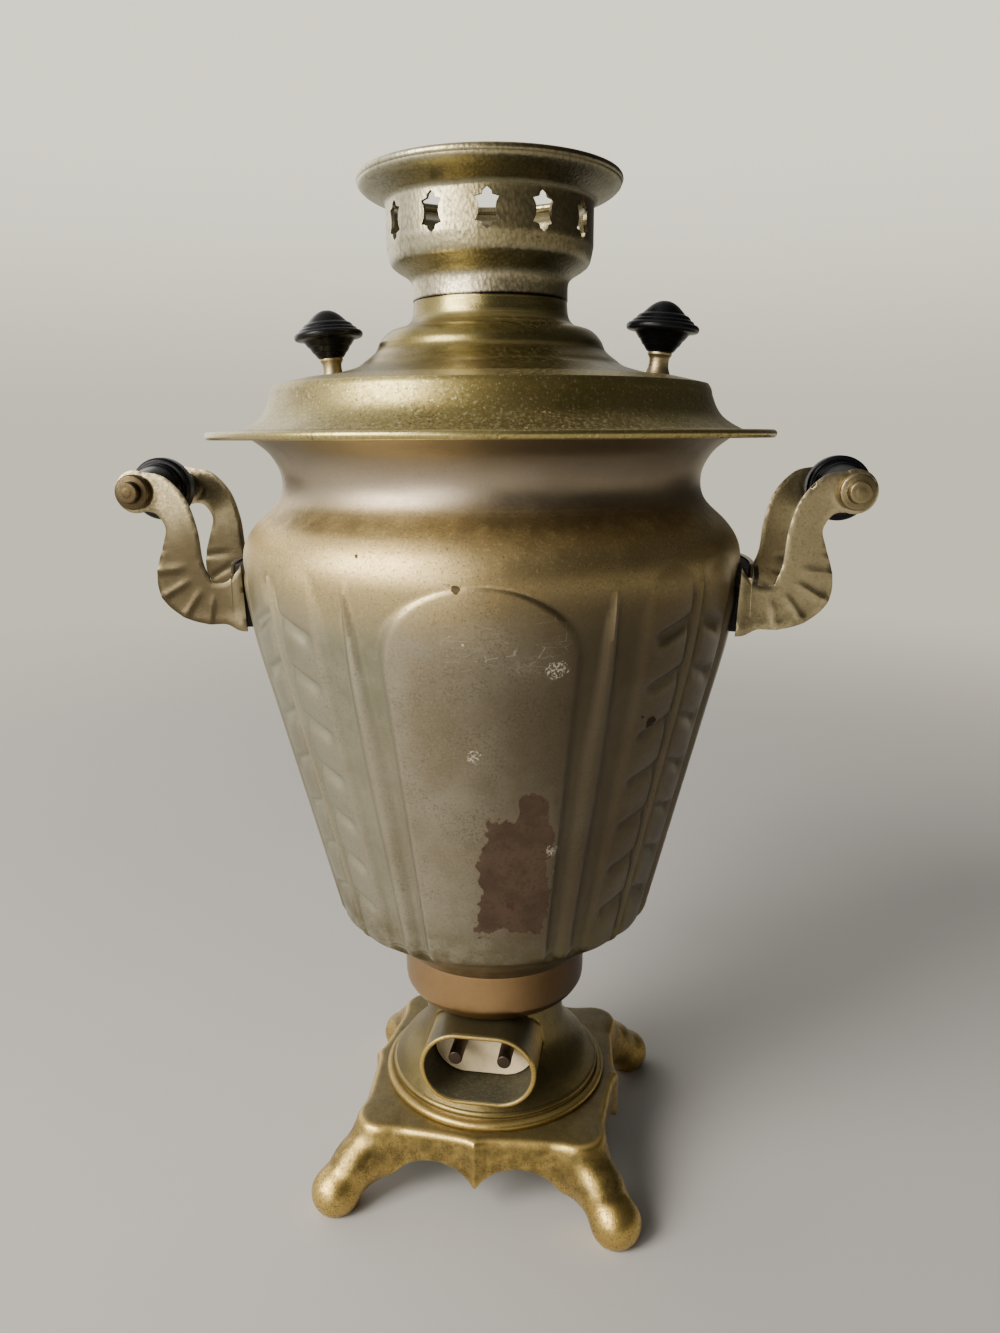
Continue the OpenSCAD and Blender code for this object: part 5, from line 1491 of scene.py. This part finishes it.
class SAMOVAR_OT_handles(bpy.types.Operator):
    """Makes both handles: stamped brackets, black grips, cap nuts and screws"""
    bl_idname = "samovar.handles"
    bl_label = "Handles"

    def execute(self, context):
        colours = context.scene.samovar_finishes
        bracket = bracket_finish(colours)
        black = bakelite_finish(colours)
        nut_metal = plain_metal("Nut brass", linear(146, 132, 98), 0.38, soil=0.6, left=linear(62, 49, 33))
        steel = plain_metal("Old steel", linear(104, 98, 88), 0.45)
        # Black rubber for the pads, which also stand in for the shade in the gap between the tank and the
        # bracket
        rubber_and_gap_shade = dull_rubber("Pad rubber and gap shade", linear(30, 29, 29))

        def right(mesh):
            return turned(mesh, TANK_TURN)

        def left(mesh):
            return turned(mirrored(mesh), TANK_TURN)

        for side, turn in (("right", right), ("left", left)):
            piece(side + "_bracket_sheet", turn(handle_bracket()), "samovar", bracket,
                  (side + "_handle_bracket",))
            piece(side + "_grip_moulding", turn(grip()), "samovar", black, (side + "_grip",))
            piece(side + "_pad_and_gap_shade", turn(handle_pad()), "samovar", rubber_and_gap_shade,
                  (side + "_handle_pad",))
        nuts = [turn(cap_nut(end)) for end in (-1, 1) for turn in (right, left)]
        piece("rod_cap_nuts", joined(*nuts), "samovar", nut_metal, ("grip_nuts",))
        heads = [turn(screw_heads()) for turn in (right, left)]
        piece("bracket_screw_heads", joined(*heads), "samovar", steel)
        dress(steel, "handle_screws", "handle_nuts", "left_grip_rod", "right_grip_rod")
        return {"FINISHED"}


class SAMOVAR_OT_knobs(bpy.types.Operator):
    """Makes the two stepped black knobs on their flared stems"""
    bl_idname = "samovar.knobs"
    bl_label = "Knobs"

    def execute(self, context):
        colours = context.scene.samovar_finishes
        black = bakelite_finish(colours)
        brass = plain_metal("Stem brass", linear(168, 152, 118), 0.42)
        head = shifted(lathe(eased(KNOB, 0.35, 2), 96), z=8)
        stem = lathe(eased(STEM, 0.3), 64)
        for side, name in ((-1, "left"), (1, "right")):
            piece(name + "_knob_head", at_knob(head, side), "lid_body", black, (name + "_knob",))
            piece(name + "_knob_neck", at_knob(stem, side), "lid_body", brass,
                  (name + "_knob_stem",))
        dress(plain_metal("Nut steel", linear(150, 148, 142), 0.4), "knob_nuts")
        return {"FINISHED"}


class SAMOVAR_OT_tap(bpy.types.Operator):
    """Makes the plug tap with its butterfly key"""
    bl_idname = "samovar.tap"
    bl_label = "Tap"

    def execute(self, context):
        colours = context.scene.samovar_finishes
        gilt = cast_finish(colours)
        for name, mesh, body, slot, finish, node in (
                ("tap_casting", tap_casting(), "samovar", "base_casting", gilt, "tap_body"),
                ("tap_turning", tap_turning(), "plug_body", "base_casting", gilt, "tap_plug"),
                ("tap_butterfly", tap_key(), "plug_body", "bakelite", bakelite_finish(colours), "tap_key")):
            piece(name, turned(mesh, TANK_TURN), body, finish, (node,))
        dress(plain_metal("Washer steel", linear(156, 154, 148), 0.36), "plug_washer", "plug_nut")
        dress(dull_rubber("Red seal", linear(110, 52, 38)), "tap_gasket", "heater_gaskets")
        return {"FINISHED"}


class SAMOVAR_OT_inside(bpy.types.Operator):
    """Gives the heater, the leads, the bottom and the tie rod their finishes"""
    bl_idname = "samovar.inside"
    bl_label = "Inside fittings"

    def execute(self, context):
        dress(plain_metal("Bottom brass", linear(176, 156, 110), 0.42, soil=0.5),
              "tank_bottom", "heater_nuts", "tap_nut")
        dress(plain_metal("Scaled copper", linear(170, 132, 100), 0.5, soil=0.7), "heating_element")
        dress(plain_metal("Cover steel", linear(150, 149, 144), 0.42, soil=0.5),
              "base_cover", "tie_rod", "tie_nut", "pin_nuts")
        dress(dull_rubber("Woven lead sleeve", linear(198, 190, 172), 0.85), "left_lead", "right_lead")
        return {"FINISHED"}


class SAMOVAR_OT_stage(bpy.types.Operator):
    """Makes the camera, the soft lights and the pale floor"""
    bl_idname = "samovar.stage"
    bl_label = "Stage"

    def execute(self, context):
        stage = context.scene.samovar_stage
        scene = context.scene
        camera = bpy.data.objects.new("Camera", bpy.data.cameras.new("Camera"))
        camera.data.lens, camera.data.sensor_width, camera.data.clip_start = stage.lens, 36.0, 0.01
        camera.matrix_world = (Matrix.Translation(stage.stand) @ Matrix.Rotation(stage.yaw, 4, "Z")
                               @ Matrix.Rotation(pi / 2 - stage.pitch, 4, "X")
                               @ Matrix.Rotation(stage.roll, 4, "Z"))
        scene.collection.objects.link(camera)
        scene.camera = camera
        for name, watts, width, height, place, aim in (
                ("Window", stage.window, 0.8, 1.1, (-1.0, -1.0, 1.0), (0, 0, 0.2)),
                ("Front", stage.front, 0.5, 0.6, (-0.45, -1.25, 0.45), (0, 0, 0.15)),
                ("Back left", stage.back, 0.8, 1.0, (-0.9, 0.7, 0.6), (0, 0, 0.25))):
            light = bpy.data.lights.new(name, "AREA")
            light.shape, light.size, light.size_y, light.energy = "RECTANGLE", width, height, watts
            light.color = (1.0, 0.95, 0.88)
            lamp = bpy.data.objects.new(name, light)
            lamp.location = place
            lamp.rotation_euler = (lamp.location - Vector(aim)).to_track_quat("Z", "Y").to_euler()
            lamp.visible_camera = False
            scene.collection.objects.link(lamp)
        scene.world = soft_room(stage)
        floor, sides = bmesh.new(), 48
        rings = [[floor.verts.new((r * cos(2 * pi * k / sides), r * sin(2 * pi * k / sides), 0))
                  for k in range(sides)] for r in (0.5, 2.0, 12.0)]
        floor.faces.new(rings[0])
        for a, b in zip(rings[:-1], rings[1:]):
            for k in range(sides):
                floor.faces.new((a[k], b[k], b[(k + 1) % sides], a[(k + 1) % sides]))
        sheet = bpy.data.meshes.new("floor")
        floor.to_mesh(sheet)
        floor.free()
        sheet.materials.append(floor_finish(stage))
        ground = bpy.data.objects.new("floor", sheet)
        scene.collection.objects.link(ground)
        return {"FINISHED"}


OPERATORS = (SAMOVAR_OT_tank, SAMOVAR_OT_ring, SAMOVAR_OT_collar, SAMOVAR_OT_lid, SAMOVAR_OT_crown,
             SAMOVAR_OT_base, SAMOVAR_OT_inlet, SAMOVAR_OT_handles, SAMOVAR_OT_knobs, SAMOVAR_OT_tap,
             SAMOVAR_OT_inside, SAMOVAR_OT_stage)


class SAMOVAR_PT_sidebar(bpy.types.Panel):
    """Settings and operators of the samovar"""
    bl_idname = "SAMOVAR_PT_sidebar"
    bl_label = "Samovar"
    bl_space_type = "VIEW_3D"
    bl_region_type = "UI"
    bl_category = "Samovar"

    def draw(self, context):
        scene = context.scene
        for title, group in (("Sizes", scene.samovar_sizes), ("Finishes", scene.samovar_finishes),
                             ("Stage", scene.samovar_stage)):
            box = self.layout.box()
            box.label(text=title)
            for label in group.__annotations__:
                box.prop(group, label)
        for operator in OPERATORS:
            self.layout.operator(operator.bl_idname)


GROUPS = {"samovar_sizes": SamovarSizes, "samovar_finishes": SamovarFinishes, "samovar_stage": SamovarStage}


def register():
    for cls in (*GROUPS.values(), *OPERATORS, SAMOVAR_PT_sidebar):
        bpy.utils.register_class(cls)
    for label, group in GROUPS.items():
        setattr(bpy.types.Scene, label, PointerProperty(type=group))


def unregister():
    for label in GROUPS:
        delattr(bpy.types.Scene, label)
    for cls in (SAMOVAR_PT_sidebar, *OPERATORS[::-1], *GROUPS.values()):
        bpy.utils.unregister_class(cls)


def main():
    """Makes the whole samovar."""
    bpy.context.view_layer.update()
    register()
    for operator in OPERATORS:
        group, name = operator.bl_idname.split(".")
        getattr(getattr(bpy.ops, group), name)()
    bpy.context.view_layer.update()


if __name__ == "__main__":
    main()
